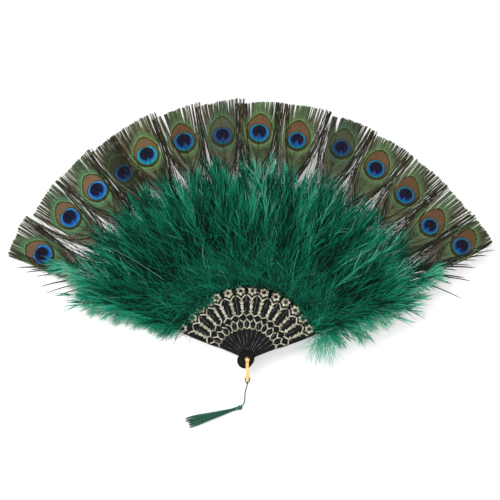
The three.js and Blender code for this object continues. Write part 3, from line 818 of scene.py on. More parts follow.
# Herls are the long loose barbs from lower down. They follow a curve with three given points,
# (1 - p)^2 root + 2 p (1 - p) bend + p^2 end, and sway across it.
def herls(rng, stick, reach, angle, rooms):
    form = herlForm
    count, side = 2 * form["each"], np.repeat([1.0, -1.0], form["each"])
    roots = rng.uniform(*form["roots"], count)
    spread = np.repeat(rooms, form["each"]) * rng.uniform(*form["spread"], count)
    ends = cutEdge(reach, side * spread) - rng.uniform(0, 1, count) ** 3 * form["shortBy"]
    end = np.stack([np.sqrt(np.maximum(ends**2 - spread**2, 1)), side * spread], -1)
    away = rng.uniform(*form["bendAlong"], count)
    across = side * spread * rng.uniform(*form["bendAcross"], count)
    bend = np.stack([roots + (end[:, 0] - roots) * away, across], -1)
    isWisp = np.arange(count + len(wisps.get(stick, []))) >= count
    if stick in wisps:
        starts, extra, turn = wispCurves(stick, angle)
        roots, end, bend = np.r_[roots, starts], np.r_[end, extra], np.r_[bend, turn]
        count = len(roots)
    p = np.linspace(0, 1, form["rings"])[None, :, None]
    root = np.stack([roots, np.zeros(count)], -1)
    path = (1 - p) ** 2 * root[:, None] + 2 * p * (1 - p) * bend[:, None] + p**2 * end[:, None]
    p = p[..., 0]
    sway = rng.normal(0, form["sway"], (count, 1))
    sway = sway * np.sin(p * form["swayTurn"] + rng.uniform(0, 6, (count, 1)))
    path[..., 1] += sway * p * (1.4 - p)
    level = rng.uniform(*form["levels"], (count, 1)) + 0 * p
    lines = np.concatenate([path, level[..., None]], -1)
    thick = np.where(isWisp, form["wispWidth"], form["width"])[:, None]
    taper = np.where(isWisp, form["wispTaper"], form["taper"])[:, None]
    widths = thick * (1 - taper * p) * rng.uniform(*form["widths"], (count, 1))
    points, faces = strands(lines, widths, widths * form["flatness"])
    isPale = (rng.uniform(0, 1, count) < form["pale"]) & ~isWisp
    pale, dark = rng.uniform(*form["paleTones"], count), rng.uniform(*form["darkTones"], count)
    uv = strandUV(np.where(isPale, pale, dark), form["rings"], 0.02)
    return points, faces, shelfUV(uv, 3)


def wispCurves(stick, angle):  # roots, ends and bends of the loose barbs at an end of the fan
    height = stickBottoms[stick]
    places = np.array([(*fromPhoto(pixel, height), 0) for pixel, root in wisps[stick]])
    ends = turnedAboutPin(places, -angle)[:, :2]
    roots = np.array([root for pixel, root in wisps[stick]], float)
    along, across = herlForm["wispBend"]
    return roots, ends, np.stack([roots + (ends[:, 0] - roots) * along, ends[:, 1] * across], -1)


def quillOf(eyeReach):
    x = np.linspace(feather["quillStart"], eyeReach + feather["quillPast"], feather["quillRings"])
    share = (x - x[0]) / (x[-1] - x[0])
    low, high = feather["quillLevels"]
    line = np.stack([x, 0 * x, low + (high - low) * share], -1)[None]
    start, end = feather["quillWidth"], feather["quillTipWidth"]
    widths = (start + (end - start) * share)[None]
    sides = feather["quillSides"]
    points, faces = strands(line, widths, widths * feather["quillHeight"] / start, sides=sides)
    return points, faces, shelfUV(strandUV(np.array([0.5]), len(x), 0.4, sides), 4)


def shelfUV(uv, shelf):  # a strand's own map, laid on one shelf of the feather's map
    return np.stack([uv[:, 1], (shelf + uv[:, 0].clip(0.01, 0.99)) / feather["shelves"]], -1)


def addFeather(stick):
    rng = np.random.default_rng(40 + stick)
    node = numbered("peacock_feather", stick)
    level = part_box(node)[0].z / mm
    x, y = fromPhoto(feather["eyePixels"][stick], level)
    angle, eyeReach = math.degrees(math.atan2(y, x)), math.hypot(x, y)
    reach, rooms = feather["reaches"][stick], sideRooms(stick)
    made = [barbs(rng, stick, reach, eyeReach, rooms), herls(rng, stick, reach, angle, rooms)]
    made.append(quillOf(eyeReach))
    points, faces, uv = joinedWithUV(made)
    points = turnedAboutPin(points, angle) + (0, 0, level)
    piece = addMesh(numbered("feather", stick), points, faces, peacockFinish(stick), uv)
    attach(piece, stickName(stick))
    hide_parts(node)
    return len(faces)


def addFeathers():
    total = sum(addFeather(stick) for stick in sticks)
    print("feathers made,", total, "triangles")


addFeathers()


# Sticks: black moulded openwork with a gilt relief. Sizes are along and across the stick, in mm.

stickForm = {
    "butt": 6.7, "buttBack": 0.4, "topButt": 7.9, "topButtBack": 2.5, "mouth": 45, "bore": 1.35,
    "neck": (9.5, 1.2), "neckBend": 5.7, "neckSteps": 8, "buttSteps": 40,
    "edge": [(30, 3.05), (37, 4.3), (43, 5.1), (53, 5.4), (60, 5.9), (64.3, 6.2)],
    "tip": [(66.2, 5.3), (69, 4.7), (71.4, 3.9), (72.9, 2.2), (73.4, 0)],
    "guardEdge": [(30, 3.05), (37, 4.5), (44, 5.3), (56, 6.6), (66.5, 7.3), (71, 7.2), (73.4, 5.6),
                  (74, 3), (74, 0)],
    "web": 0.6, "frame": 0.3, "round": 0.08, "relief": 0.25, "gripSink": 0.02, "webSink": 0.01,
    "window": [(47.2, 2.4), (49.6, 1.7), (54.9, 1.8), (57.8, 1.5), (60, 1.4), (61.6, 2.7),
               (62.6, 4.6), (59.6, 4.8), (53.5, 4.3), (47.8, 3.9)],
    "hexCell": [(38.2, 0), (40.2, 2), (42.8, 2.4), (44.7, 0), (42.8, -2.4), (40.2, -2)],
    "lowCell": [(33.4, 0.9), (32.6, 2.4), (36, 2.7), (36.6, 1)],
    "holes": [(68.5, 0, 0.72)],
    "rimInset": 0.2, "rimHalf": 0.13, "rimHeight": 0.18, "rimCorners": 6, "steps": 4,
}
tracery = {
    "half": 0.64, "height": 0.42, "sink": 0.06, "steps": 4,
    "foot": [(30.0, 2.3), (30.9, 1.5), (32, 0.5), (33, 0)],
    "strip": [(32.2, 0), (34.8, 0), (37.5, 0)],
    "lowerArm": [(36.9, 0), (38.2, 1.5), (39.5, 2.9), (40.7, 3.7)],
    "roof": [(42.5, 4.7), (43.6, 3.4), (44.8, 1.5), (46, 0)],
    "stem": [(45.8, 0), (49, 0), (52.4, 0), (55.4, 0), (59.8, 0)],
    "arm": [(59.4, 0), (60.5, 0.6), (62.2, 2.1), (63.5, 3.8), (64.2, 5.3)],
    "widths": {"foot": 1, "strip": 0.95, "lowerArm": 0.95, "roof": 1.1, "stem": 1.25, "arm": 1.1},
    "blobs": [(45.5, 0.8, 0.75), (45.5, -0.8, 0.75), (46.7, 0, 0.95), (48, 1.15, 0.9),
              (48, -1.15, 0.9), (51.4, 0, 1.5), (53.4, 0, 1.65), (56.4, 0.9, 1.05),
              (56.4, -0.9, 1.05), (57.8, 1.85, 0.6), (57.8, -1.85, 0.6), (59.6, 0, 0.95),
              (32.7, 0, 0.95), (37, 0, 0.95)],
    "blobRows": 4, "blobSides": 12,
    "rosetteMiddle": (68.5, 0), "petals": 6, "petalReach": 3.15, "petalRadius": 1.6,
    "guardShift": (2.6, 3.2), "guardLift": 1.3, "taper": 0.3, "blobRise": 1.12, "petalRise": 1.1,
    "archSides": 6, "archPower": 0.8,
}


def plasticFinish():
    finish = Finish("black_plastic")
    place = finish.place()
    grain = finish.noise(place, 420, 2.0)
    smears = finish.noise(place, 60, 4.0)
    colour = finish.mixed(smears, (6, 7, 8), (22, 23, 24))
    return finish.shade(
        Base_Color=colour, Roughness=smears * 0.3 + 0.2, Specular_IOR_Level=0.12,
        Normal=finish.bump(grain, 0.06 * mm, 0.35),
    )


def rimHighlightFinish():  # the same black plastic with light grey patches along its rims: a painted highlight where the edges catch the light
    finish = Finish("rim_highlight_plastic")
    rimHighlight = finish.noise(finish.place(), 180, 3.0)
    # light grey in noise patches: painted highlight on the rims, not wear
    colour = finish.mixed(rimHighlight.rising(0.38, 0.66), (34, 36, 38), (170, 178, 178))
    return finish.shade(Base_Color=colour, Roughness=0.36, Specular_IOR_Level=0.4)


def giltFinish(name, bright, wornAndShaded, wearAndShade, metal):
    finish = Finish(name)
    place = finish.place()
    grain = finish.noise(place, 900, 3.0)
    patches = finish.noise(place, 240, 3.0)
    # random patches of the darker colour: partly wear, partly painted shade on the relief and the metalwork
    colour = finish.mixed(patches.rising(0.5 - wearAndShade, 0.72), bright, wornAndShaded)
    return finish.shade(
        Base_Color=colour, Metallic=metal, Roughness=grain * 0.3 + 0.22,
        Normal=finish.bump(grain, 0.08 * mm, 0.5),
    )


def buttLoop(top):  # the butt's disc, from its mouth round the back, drawn in to the neck
    form = stickForm
    radius = form["topButt"] if top else form["butt"]
    back = form["topButtBack"] if top else form["buttBack"]
    turn = np.radians(np.linspace(form["mouth"], 360 - form["mouth"], form["buttSteps"]))
    arc = np.stack([radius * np.cos(turn) - back, radius * np.sin(turn)], -1)
    t = np.linspace(0, 1, form["neckSteps"], endpoint=False)[:, None]
    start, bend = np.array(form["neck"]), np.array([form["neckBend"], form["neck"][1]])
    into = (1 - t) ** 2 * start + 2 * t * (1 - t) * bend + t**2 * arc[0]
    out = (into * (1, -1))[::-1]
    return np.concatenate([into, arc, out])


def sideEdge(stick, side):  # a guard is wider on its outer side
    outer = {0: 1, lastStick: -1}.get(stick) == side
    corners = stickForm["guardEdge"] if outer else stickForm["edge"] + stickForm["tip"]
    return np.array(corners, float) * (1, side)


def stickOutline(stick):
    left, right = (smoothPath(sideEdge(stick, side), stickForm["steps"]) for side in (1, -1))
    return np.concatenate([buttLoop(stick == lastStick), right[:-1], left[::-1]])


def gripOutline(stick):
    edge = np.array(stickForm["edge"][0])
    return np.concatenate([buttLoop(stick == lastStick), [edge * (1, -1), edge]])


def roundLoop(centre, radius, corners=20):
    turn = turnSteps(corners)
    return np.stack([centre[0] + radius * np.cos(turn), centre[1] + radius * np.sin(turn)], -1)


def plate(loops, low, high):  # a flat plate with holes and slightly rounded edges
    bevel = stickForm["round"]
    curve = bpy.data.curves.new("plate", "CURVE")
    curve.dimensions = "2D"
    curve.fill_mode = "BOTH"
    curve.extrude = (high - low) / 2 - bevel
    curve.bevel_depth = bevel
    curve.bevel_resolution = 1
    curve.offset = -bevel
    for loop in loops:
        spline = curve.splines.new("POLY")
        spline.points.add(len(loop) - 1)
        flat = np.column_stack([loop, np.zeros(len(loop)), np.ones(len(loop))])
        spline.points.foreach_set("co", flat.ravel())
        spline.use_cyclic_u = True
    holder = bpy.data.objects.new("plate", curve)
    mesh = bpy.data.meshes.new_from_object(holder)
    shaped = bmesh.new()
    shaped.from_mesh(mesh)
    bmesh.ops.remove_doubles(shaped, verts=shaped.verts, dist=0.001)
    bmesh.ops.triangulate(shaped, faces=shaped.faces)
    bmesh.ops.recalc_face_normals(shaped, faces=shaped.faces)
    points = np.array([corner.co[:] for corner in shaped.verts])
    faces = np.array([[corner.index for corner in face.verts] for face in shaped.faces])
    shaped.free()
    bpy.data.objects.remove(holder)
    bpy.data.curves.remove(curve)
    bpy.data.meshes.remove(mesh)
    return points + (0, 0, (low + high) / 2), faces


def halfRound(half, height, sink):  # the section of a relief line, with its foot sunk in
    turn = np.linspace(math.pi, 0, tracery["archSides"] + 1)
    arch = np.stack([half * np.cos(turn), height * np.sin(turn) ** tracery["archPower"]], -1)
    return np.concatenate([[(half, -sink), (-half, -sink)], arch])


def raised(path, half, height, level, scale=1.0):
    section = halfRound(half, height, tracery["sink"])
    return swept(path, section, scale * np.ones(len(path)), level)


def blob(x, y, radius, height, level):  # a low dome: height cos(a) over radius sin(a)
    rows, around = tracery["blobRows"], tracery["blobSides"]
    lean = np.linspace(0.05, 0.5, rows)[:, None] * math.pi
    turn = turnSteps(around)[None, :]
    reach = radius * np.sin(lean)
    points = np.stack([
        x + reach * np.cos(turn), y + reach * np.sin(turn), level + height * np.cos(lean) + 0 * turn
    ], -1)
    points = np.concatenate([points.reshape(-1, 3), points[-1] - (0, 0, tracery["sink"])])
    return points, gridFaces(rows + 1, around, capped=True)[:, ::-1]


def blackStick(stick, thick):  # thick is how far the web's top lies over the stick's foot
    form = stickForm
    holes = [roundLoop((x, y), radius, 16) for x, y, radius in form["holes"]]
    bore = roundLoop((0, 0), form["bore"])
    cells = [np.array(form["hexCell"], float)]
    for name in ("window", "lowCell"):
        cells += [np.array(form[name], float), np.array(form[name][::-1], float) * (1, -1)]
    outline = stickOutline(stick)
    return joined([
        plate([gripOutline(stick), bore], 0, thick - form["gripSink"]),
        plate([outline, bore] + holes, form["web"], thick - form["frame"]),
        plate([outline, bore] + holes + cells, form["web"] + form["webSink"], thick),
    ])


def highlightedRims(stick, thick):  # the rims along both edges, up to the tip, which carry the painted highlight of the edges
    form = stickForm
    parts = []
    for side in (1, -1):
        neck = np.array([form["neck"]], float) * (1, side)
        line = np.concatenate([neck, sideEdge(stick, side)[:form["rimCorners"]]])
        line = smoothPath(line - (0, side * form["rimInset"]), form["steps"])
        parts.append(raised(line, form["rimHalf"], form["rimHeight"], thick))
    return joined(parts)


def giltRelief(stick, thick, lift):
    height = tracery["height"] * lift
    shift = tracery["guardShift"] if stick == 0 else (0, 0)
    parts = []
    for name, width in tracery["widths"].items():
        sides = (1,) if name in ("strip", "stem") else (1, -1)
        for side in sides:
            path = smoothPath(np.array(tracery[name]) * (1, side), tracery["steps"])
            scale = width * (1 - tracery["taper"] * np.linspace(-1, 1, len(path)) ** 6)
            parts.append(raised(path, tracery["half"], height, thick, scale))
    for x, y, radius in tracery["blobs"]:
        parts.append(blob(x, y, radius, height * tracery["blobRise"], thick))
    middle = np.add(tracery["rosetteMiddle"], shift)
    for x, y in roundLoop(middle, tracery["petalReach"], tracery["petals"]):
        parts.append(blob(x, y, tracery["petalRadius"], height * tracery["petalRise"], thick))
    return joined(parts)


def addStick(stick, plastic, rimHighlight, gilt):
    bottom = stickBottoms[stick]
    thick = stickTops[stick] - bottom - stickForm["relief"]
    lift = tracery["guardLift"] if stick == lastStick else 1
    made = {"moulded": (blackStick(stick, thick), plastic, "black_plastic"),
            "rims": (highlightedRims(stick, thick), rimHighlight, "black_plastic"),
            "gilt": (giltRelief(stick, thick, lift), gilt, "gilt_metal")}
    for kind, ((points, faces), finish, slot) in made.items():
        points = turnedAboutPin(points, stickAngles[stick]) + (0, 0, bottom)
        name = f"{kind}_{stickName(stick)}"
        piece = addMesh(name, points, faces, finish, smooth=kind != "moulded")
        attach(piece, stickName(stick))
        if kind == "moulded":
            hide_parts(stickName(stick))
    return sum(len(faces) for (points, faces), finish, slot in made.values())


def addSticks():
    plastic, rimHighlight = plasticFinish(), rimHighlightFinish()
    gilt = giltFinish("gilt_relief", (218, 217, 194), (122, 108, 82), 0.16, 0.15)
    total = sum(addStick(stick, plastic, rimHighlight, gilt) for stick in sticks)
    print("sticks made,", total, "triangles")


addSticks()


# Metalwork: the pin with its ball nut, and the bail

metalwork = {"bevel": 0.32, "bevelSegments": 3, "bevelFrom": 32, "flatWithin": 0.02,
             "ballRows": 22, "ballAround": 40, "ballFoot": 0.75, "ballPole": 0.02}


def softened(node, name, finish):  # the CAD form with its facets merged and its edges rounded
    mesh = frame["nodes"][node].data.copy()
    mesh.name = name
    shaped = bmesh.new()
    shaped.from_mesh(mesh)
    bmesh.ops.remove_doubles(shaped, verts=shaped.verts, dist=0.00001)
    flat = metalwork["flatWithin"]
    bmesh.ops.dissolve_limit(shaped, angle_limit=flat, verts=shaped.verts, edges=shaped.edges)
    shaped.to_mesh(mesh)
    shaped.free()
    mesh.materials.clear()
    mesh.materials.append(finish)
    piece = bpy.data.objects.new(name, mesh)
    bpy.context.scene.collection.objects.link(piece)
    edge = piece.modifiers.new("edges", "BEVEL")
    edge.width = metalwork["bevel"] * mm
    edge.segments = metalwork["bevelSegments"]
    edge.limit_method = "ANGLE"
    edge.angle_limit = math.radians(metalwork["bevelFrom"])
    for face in mesh.polygons:
        face.use_smooth = True
    return piece


def addBall(finish):  # a sphere round the nut's middle: radius (sin a cos b, sin a sin b, cos a)
    low, high = cadBoxOf("pin_ball_nut")
    radius = (high - low)[0] / 2
    middle = (low + high) / 2
    middle[2] = high[2] - radius
    rows, around = metalwork["ballRows"], metalwork["ballAround"]
    lean = np.linspace(math.pi - metalwork["ballFoot"], metalwork["ballPole"], rows)[:, None]
    turn = turnSteps(around)[None, :]
    x, y = np.sin(lean) * np.cos(turn), np.sin(lean) * np.sin(turn)
    points = (np.stack([x, y, np.cos(lean) + 0 * turn], -1) * radius).reshape(-1, 3) + middle
    return addMesh("ball_nut", points, gridFaces(rows, around, capped=True), finish)


def addMetalwork():
    gilt = giltFinish("polished_gilt", (250, 214, 146), (220, 172, 100), 0.02, 1.0)
    bail = softened("bail", "bail_strap", gilt)
    ball = addBall(gilt)
    pin = softened("pivot_pin", "gilt_pin", gilt)
    owned = record["behaviour"]["bodies"]
    bodies = {node: body for body, nodes in owned.items() for node in nodes}
    for piece, node in ((bail, "bail"), (ball, "pin_ball_nut"), (pin, "pivot_pin")):
        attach(piece, bodies[node])
        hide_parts(node)
    print("metalwork made")


addMetalwork()


# Marabou down: plumes of fine hairs, glued on the sticks' tips in front and behind

down = {
    "crestReaches": [74, 94.5, 127.8, 150, 168.6, 187, 198.8, 206],
    "crestHeights": [5, 12, 16, 15.2, 13, 9.5, 6, 3], "lift": 0.75, "neighbourFrom": 138,
    "neighbourTo": 150, "tipOver": 77, "tipSlope": 3, "sector": 1.1, "endSector": 9,
    "backFoot": 0.25, "backGap": 0.3, "leastRoom": 0.3,
    "toneMiddle": 142, "toneSpan": 45, "toneRise": 0.22, "edgeFrom": 3, "edgeSpan": 7,
    "edgeGlow": 0.28,
    "frontKeep": 0.044, "backKeep": 0.002, "backAnchor": 0.1, "endKeep": 0.6,  # not used in this script
}
hair = {
    "rings": 5, "width": 0.28, "height": 0.11, "taper": 0.55, "widths": (0.75, 1.3), "locks": 20,
    "gather": 0.85, "leave": 30, "leaveTaper": 0.68, "leaveSpread": 4, "lockLean": 10, "back": 0.6,
    "lockTurn": 0.22, "turnSpread": 0.08, "shorten": 0.45, "lengths": (0.6, 1.15),
    "climb": (4, 16), "fall": 0.12, "sway": 0.07, "lockTone": 0.18, "tone": 0.08,
    "tones": (0.02, 0.9), "thinRings": 6, "thinEnd": 0.4, "thinFlatness": 0.5,
}
plume = {"rings": 9, "width": 0.14, "taper": 0.7, "flatness": 0.6, "gather": (1.3, 0.75),
         "heading": 8, "turn": 12, "bare": 8, "pale": 0.025, "paleWider": 0.6, "paleTone": 0.96,
         "heights": (0.08, 0.9), "rise": (0.35, 1)}
fluff = {"count": 460, "depth": 32, "gather": 1.4, "length": (12, 26), "tone": (0.36, 0.2),
         "lean": 38, "rise": (0.05, 0.75), "width": 1, "climb": (6, 16), "curl": 0.5}
crossers = fluff | {"count": 60, "depth": 95, "gather": 1, "length": (18, 36),
                    "tone": (0.68, 0.08), "lean": 26, "rise": (0.7, 1), "width": 0.5}
# A plume's tone is first + second height, give or take third, kept from fourth to fifth; low plumes are painted
# darker and high ones lighter, a painted shade deep in the tuft
frontTuft = {
    "seed": 100, "start": 73, "plumes": 29, "hairs": 84, "rootTo": 142, "tipFrom": 163,
    "tipTo": 206, "edgeDrop": 16, "length": 34, "tones": (-0.02, 0.5, 0.18, 0.02, 0.75),
    "loose": [fluff, crossers], "ends": {0: 1, lastStick: -1}, "endCeiling": 0.6,
    "endTones": (0.52, 0.32, 0.08, 0.1, 0.8),
}
backTuft = {
    "seed": 300, "start": 62, "plumes": 17, "hairs": 62, "rootTo": 130, "tipFrom": 145,
    "tipTo": 188, "edgeDrop": 6, "length": 34, "tones": (0.2, 0.3, 0.1, 0.04, 0.7),
    "loose": [fluff], "ends": {0: 1, lastStick - 1: -1}, "endTones": (0.68, 0.22, 0.08, 0.1, 0.88),
}
sidePlumes = {
    "count": 30, "hairs": 58, "length": 24, "from": 77, "to": 205, "jitter": 3, "inset": 3,
    "insets": (0, 1.4), "curl": 14, "heights": (0.05, 0.7), "rise": (1, 0.6),
    "reaches": [60, 80, 100, 140, 160, 180, 210],
    "turns": [55, 56, 60, 58, 50, 38, 22], "turnSpread": 7, "lengths": (0.75, 1.1),
    "quillReaches": [76, 100, 120, 142, 160, 181, 210],
    "left": [1, 9, 23, 31, 22, 3, 3], "right": [28, 33, 23, 25, 12, 7, 2],
}
strays = {  # hairs back over a stick
    "counts": {0: 4, 1: 40, 2: 80, 3: 200, 12: 26, 13: 10}, "reach": (73, 82),
    "beside": (-2.5, 5.5), "level": (1.6, 3), "spread": 40, "length": (7, 15), "curl": (0, 0.6),
    "fall": 1, "tones": (0.2, 0.6),
}
fallen = {  # hairs beside the right guard
    "count": 210, "reach": (73, 96), "beside": (5.5, 12), "level": (1, 4), "turn": (105, 168),
    "length": (16, 40), "curl": (0.4, 0.5), "fallFrom": 3, "floorGap": 1, "width": 0.16,
    "tones": (0.7, 0.88),
}
downTones = [(0, (6, 19, 14)), (0.25, (15, 62, 45)), (0.5, (28, 128, 97)), (0.75, (32, 192, 148)),
             (0.92, (104, 226, 194)), (0.98, (198, 224, 196))]


def downFinish():  # u is the hair's own shade, v runs from its root to its tip
    finish = Finish("marabou_down")
    shade, along = finish.mapUV("OFBake")
    # the colour grows lighter along v from root to tip: painted shade on the roots deep in the tuft, painted light
    # on the tips
    colour = finish.ramp(shade + along * 0.2 - 0.08, *downTones)
    return finish.shade(Base_Color=colour, Roughness=0.7 - shade * 0.15, Specular_IOR_Level=0.08)


def crestAt(reach, ceiling):  # the tuft's height over its foot at a distance from the pin
    return np.interp(reach, down["crestReaches"], down["crestHeights"]) * ceiling


# Hairs leave a quill at both sides and bend back along it, in locks that share their lean and
# tone. Their height over the foot stays under the crest c by h = c (1 - exp(-raw / c)).
def hairsOf(rng, quills, count, length, tones, foot, crest):
    plumes, rings = quills.shape[:2]
    number = plumes * count
    along = rng.uniform(0.02, 0.999, number) ** hair["gather"]
    place = along * (rings - 1)
    before = np.minimum(place.astype(int), rings - 2)
    part = (place - before)[:, None]
    own = np.repeat(np.arange(plumes), count)
    side = rng.choice([-1, 1], number)
    lock = (own * hair["locks"] + (along * hair["locks"]).astype(int)) * 2 + (side > 0)
    lean, bend, tone = rng.normal(0, 1, (3, 2 * plumes * hair["locks"]))[:, lock]
    start, end = quills[own, before], quills[own, before + 1]
    roots = start + (end - start) * part
    quillHeading = np.arctan2(end[:, 1] - start[:, 1], end[:, 0] - start[:, 0])
    leave = hair["leave"] * (1 - hair["leaveTaper"] * along) + hair["lockLean"] * lean
    leave = np.radians(leave + rng.normal(0, hair["leaveSpread"], number)) * side
    turn = -leave * hair["back"] + hair["lockTurn"] * bend
    turn = turn + rng.normal(0, hair["turnSpread"], number)
    reach = length * (1 - hair["shorten"] * along) * rng.uniform(*hair["lengths"], number)
    climb = reach * np.sin(np.radians(rng.normal(*hair["climb"], number)))
    fall = hair["fall"] * reach * rng.uniform(0, 1, number)
    sway, phase = rng.normal(0, hair["sway"], number), rng.uniform(0, 6, number)
    heading = quillHeading + leave
    lines = curledLines(roots, heading, turn, reach, climb, fall, hair["rings"], sway, phase)
    outward = (np.linalg.norm(roots[:, :2], axis=1) - down["toneMiddle"]) / down["toneSpan"]
    shade = tones[own] + hair["lockTone"] * tone + down["toneRise"] * outward.clip(-1, 1)
    shade = shade + edgeGlow(lines[:, 2]) + rng.normal(0, hair["tone"], number)
    return hairMesh(rng, lines, shade.clip(*hair["tones"]), foot, crest)


def edgeGlow(points):  # light shines through the down that stands out past the two end sticks
    angle = np.degrees(np.arctan2(points[:, 1], points[:, 0]))
    past = np.maximum(angle - stickAngles[0], stickAngles[-1] - angle) - down["edgeFrom"]
    return down["edgeGlow"] * (past / down["edgeSpan"]).clip(0, 1)


def hairMesh(rng, lines, shade, foot, crest, width=1.0):
    lines[..., 2] = settled(lines[..., 2], foot(lines), crest(lines))
    share = np.linspace(0, 1, hair["rings"])
    widths = width * hair["width"] * (1 - hair["taper"] * share)
    widths = widths * rng.uniform(*hair["widths"], (len(lines), 1))
    heights = np.full_like(widths, hair["height"])
    points, faces = strands(lines, widths, heights, firstAngle=math.pi / 2)
    return points, faces, strandUV(shade, hair["rings"])


def settled(level, bottom, top):
    room = np.maximum(top - bottom, down["leastRoom"])
    raw = (level - bottom).clip(0)
    return bottom + room * (1 - np.exp(-raw / room))


def placesAt(reach, angle, level=0.0):  # the angle is about the pin
    return np.stack([reach * np.cos(angle), reach * np.sin(angle), level + 0 * reach], -1)


def plumeQuills(rng, quills, tones):
    rings = quills.shape[1]
    pale = rng.uniform(0, 1, len(quills)) < plume["pale"]
    widths = plume["width"] * (1 - plume["taper"] * np.linspace(0, 1, rings))
    widths = widths * (1 + plume["paleWider"] * pale[:, None])
    points, faces = strands(quills, widths, widths * plume["flatness"])
    return points, faces, strandUV(np.where(pale, plume["paleTone"], tones), rings)


# Loose hairs without a quill: short fluff near the sticks' tips, or pale ones that lie across
def looseHairs(rng, stick, kind, begin, left, right, foot, crest):
    count = kind["count"]
    reach = begin + rng.normal(0, 1, count)
    reach = reach + kind["depth"] * rng.uniform(0, 1, count) ** kind["gather"]
    angle = np.radians(stickAngles[stick] + rng.uniform(-right, left, count))
    roots = placesAt(reach, angle)
    bottom, top = foot(roots), crest(roots)
    roots[:, 2] = bottom + (top - bottom) * rng.uniform(*kind["rise"], count)
    heading = angle + np.radians(rng.normal(0, kind["lean"], count))
    length, zero = rng.uniform(*kind["length"], count), np.zeros(count)
    climb = length * np.sin(np.radians(rng.normal(*kind["climb"], count)))
    turn = rng.normal(0, kind["curl"], count)
    lines = curledLines(roots, heading, turn, length, climb, zero, hair["rings"])
    shade = rng.normal(*kind["tone"], count).clip(0.02, 0.92)
    return hairMesh(rng, lines, shade, foot, crest, kind["width"])


def halfSectors(stick):  # half the angle to the next stick on each side, in degrees
    own, past = stickAngles[stick], down["endSector"]
    before = stickAngles[stick - 1] if stick > 0 else own + past
    after = stickAngles[stick + 1] if stick < lastStick else own - past
    return (before - own) / 2, (own - after) / 2


def frontFoot(stick):  # over the stick, and further out over the next feather too
    bottom, thick = stickBottoms[stick], stickTops[stick] - stickBottoms[stick]
    pitch = stickBottoms[min(stick + 1, lastStick)] - bottom
    begin, end = down["neighbourFrom"], down["neighbourTo"]

    def level(lines):
        reach = np.linalg.norm(lines[..., :2], axis=-1)
        share = ((reach - begin) / (end - begin)).clip(0, 1)
        overTip = ((down["tipOver"] - reach) / down["tipSlope"]).clip(0, 1) * thick
        return bottom + down["lift"] + pitch * share + overTip
    return level


def frontCrest(stick, ceiling=1.0):
    def level(lines):
        reach = np.linalg.norm(lines[..., :2], axis=-1)
        return frontFoot(stick)(lines) + crestAt(reach, ceiling)
    return level


def flatLevel(height):
    def level(lines):
        return np.full(lines.shape[:-1], height)
    return level


def tuftQuills(rng, stick, tuft, left, right, foot, crest):
    count, (rootGather, tipGather) = tuft["plumes"], plume["gather"]
    share = (np.arange(count) + rng.uniform(0, 1, count)) / count
    angle = np.radians(stickAngles[stick] + left - share * (left + right))
    rootSpan, tipSpan = tuft["rootTo"] - tuft["start"], tuft["tipTo"] - tuft["tipFrom"]
    start = tuft["start"] + 1 + rootSpan * rng.uniform(0, 1, count) ** rootGather
    tip = tuft["tipFrom"] + tipSpan * rng.uniform(0, 1, count) ** tipGather
    tip = tip - tuft["edgeDrop"] * (2 * share - 1) ** 2
    heading = angle + np.radians(rng.normal(0, plume["heading"], count))
    turn = np.radians(rng.normal(0, plume["turn"], count))
    lines = flatQuills(placesAt(start, angle), heading, turn, tip - start - plume["bare"])
    return raisedQuills(rng, lines, plume, foot, crest)


def sideQuills(rng, stick, outward, foot, crest):
    form, count = sidePlumes, sidePlumes["count"]
    start = np.linspace(form["from"], form["to"], count)
    start = start + rng.uniform(-form["jitter"], form["jitter"], count)
    away = form["inset"] * rng.uniform(*form["insets"], count)
    angle = np.radians(stickAngles[stick]) + outward * away / start
    turned = np.interp(start, form["reaches"], form["turns"]) - form["curl"]
    heading = angle + outward * np.radians(turned + rng.normal(0, form["turnSpread"], count))
    turn = np.full(count, outward * math.radians(2 * form["curl"]))
    lengths = form["left" if outward > 0 else "right"]
    length = np.interp(start, form["quillReaches"], lengths)
    length = length * rng.uniform(*form["lengths"], count)
    lines = flatQuills(placesAt(start, angle), heading, turn, length)
    return raisedQuills(rng, lines, form, foot, crest)


def flatQuills(roots, heading, turn, length):
    zero = np.zeros(len(roots))
    return curledLines(roots, heading, turn, length, zero, zero, plume["rings"])


# Each quill keeps its own share of the room between foot and crest, times rise along the quill
def raisedQuills(rng, quills, form, foot, crest):
    height = rng.uniform(*form["heights"], (len(quills), 1))
    bottom, top = foot(quills), crest(quills)
    quills[..., 2] = bottom + (top - bottom) * height * np.linspace(*form["rise"], plume["rings"])
    return quills, height[:, 0]


def strayHairs(rng, stick):  # short hairs that fall back over the stick's rosette
    count = strays["counts"][stick]
    reach = rng.uniform(*strays["reach"], count)
    angle = np.radians(stickAngles[stick] + rng.uniform(*strays["beside"], count))
    level = stickTops[stick] + rng.uniform(*strays["level"], count)
    heading = angle + math.pi + np.radians(rng.normal(0, strays["spread"], count))
    length, fall = rng.uniform(*strays["length"], count), np.full(count, strays["fall"])
    turn = rng.normal(*strays["curl"], count)
    lines = thinLines(placesAt(reach, angle, level), heading, turn, length, fall)
    return thinHairs(rng, lines, hair["width"], strays["tones"])


def fallenHairs(rng):  # thin hairs that droop from the end of the right guard back beside it
    count = fallen["count"]
    reach = rng.uniform(*fallen["reach"], count)
    angle = np.radians(stickAngles[-1] - rng.uniform(*fallen["beside"], count))
    level = stickBottoms[-1] + rng.uniform(*fallen["level"], count)
    heading = angle - np.radians(rng.uniform(*fallen["turn"], count))
    length = rng.uniform(*fallen["length"], count)
    fall = rng.uniform(fallen["fallFrom"], level - fallen["floorGap"], count)
    turn = rng.normal(*fallen["curl"], count)
    lines = thinLines(placesAt(reach, angle, level), heading, turn, length, fall)
    return thinHairs(rng, lines, fallen["width"], fallen["tones"])


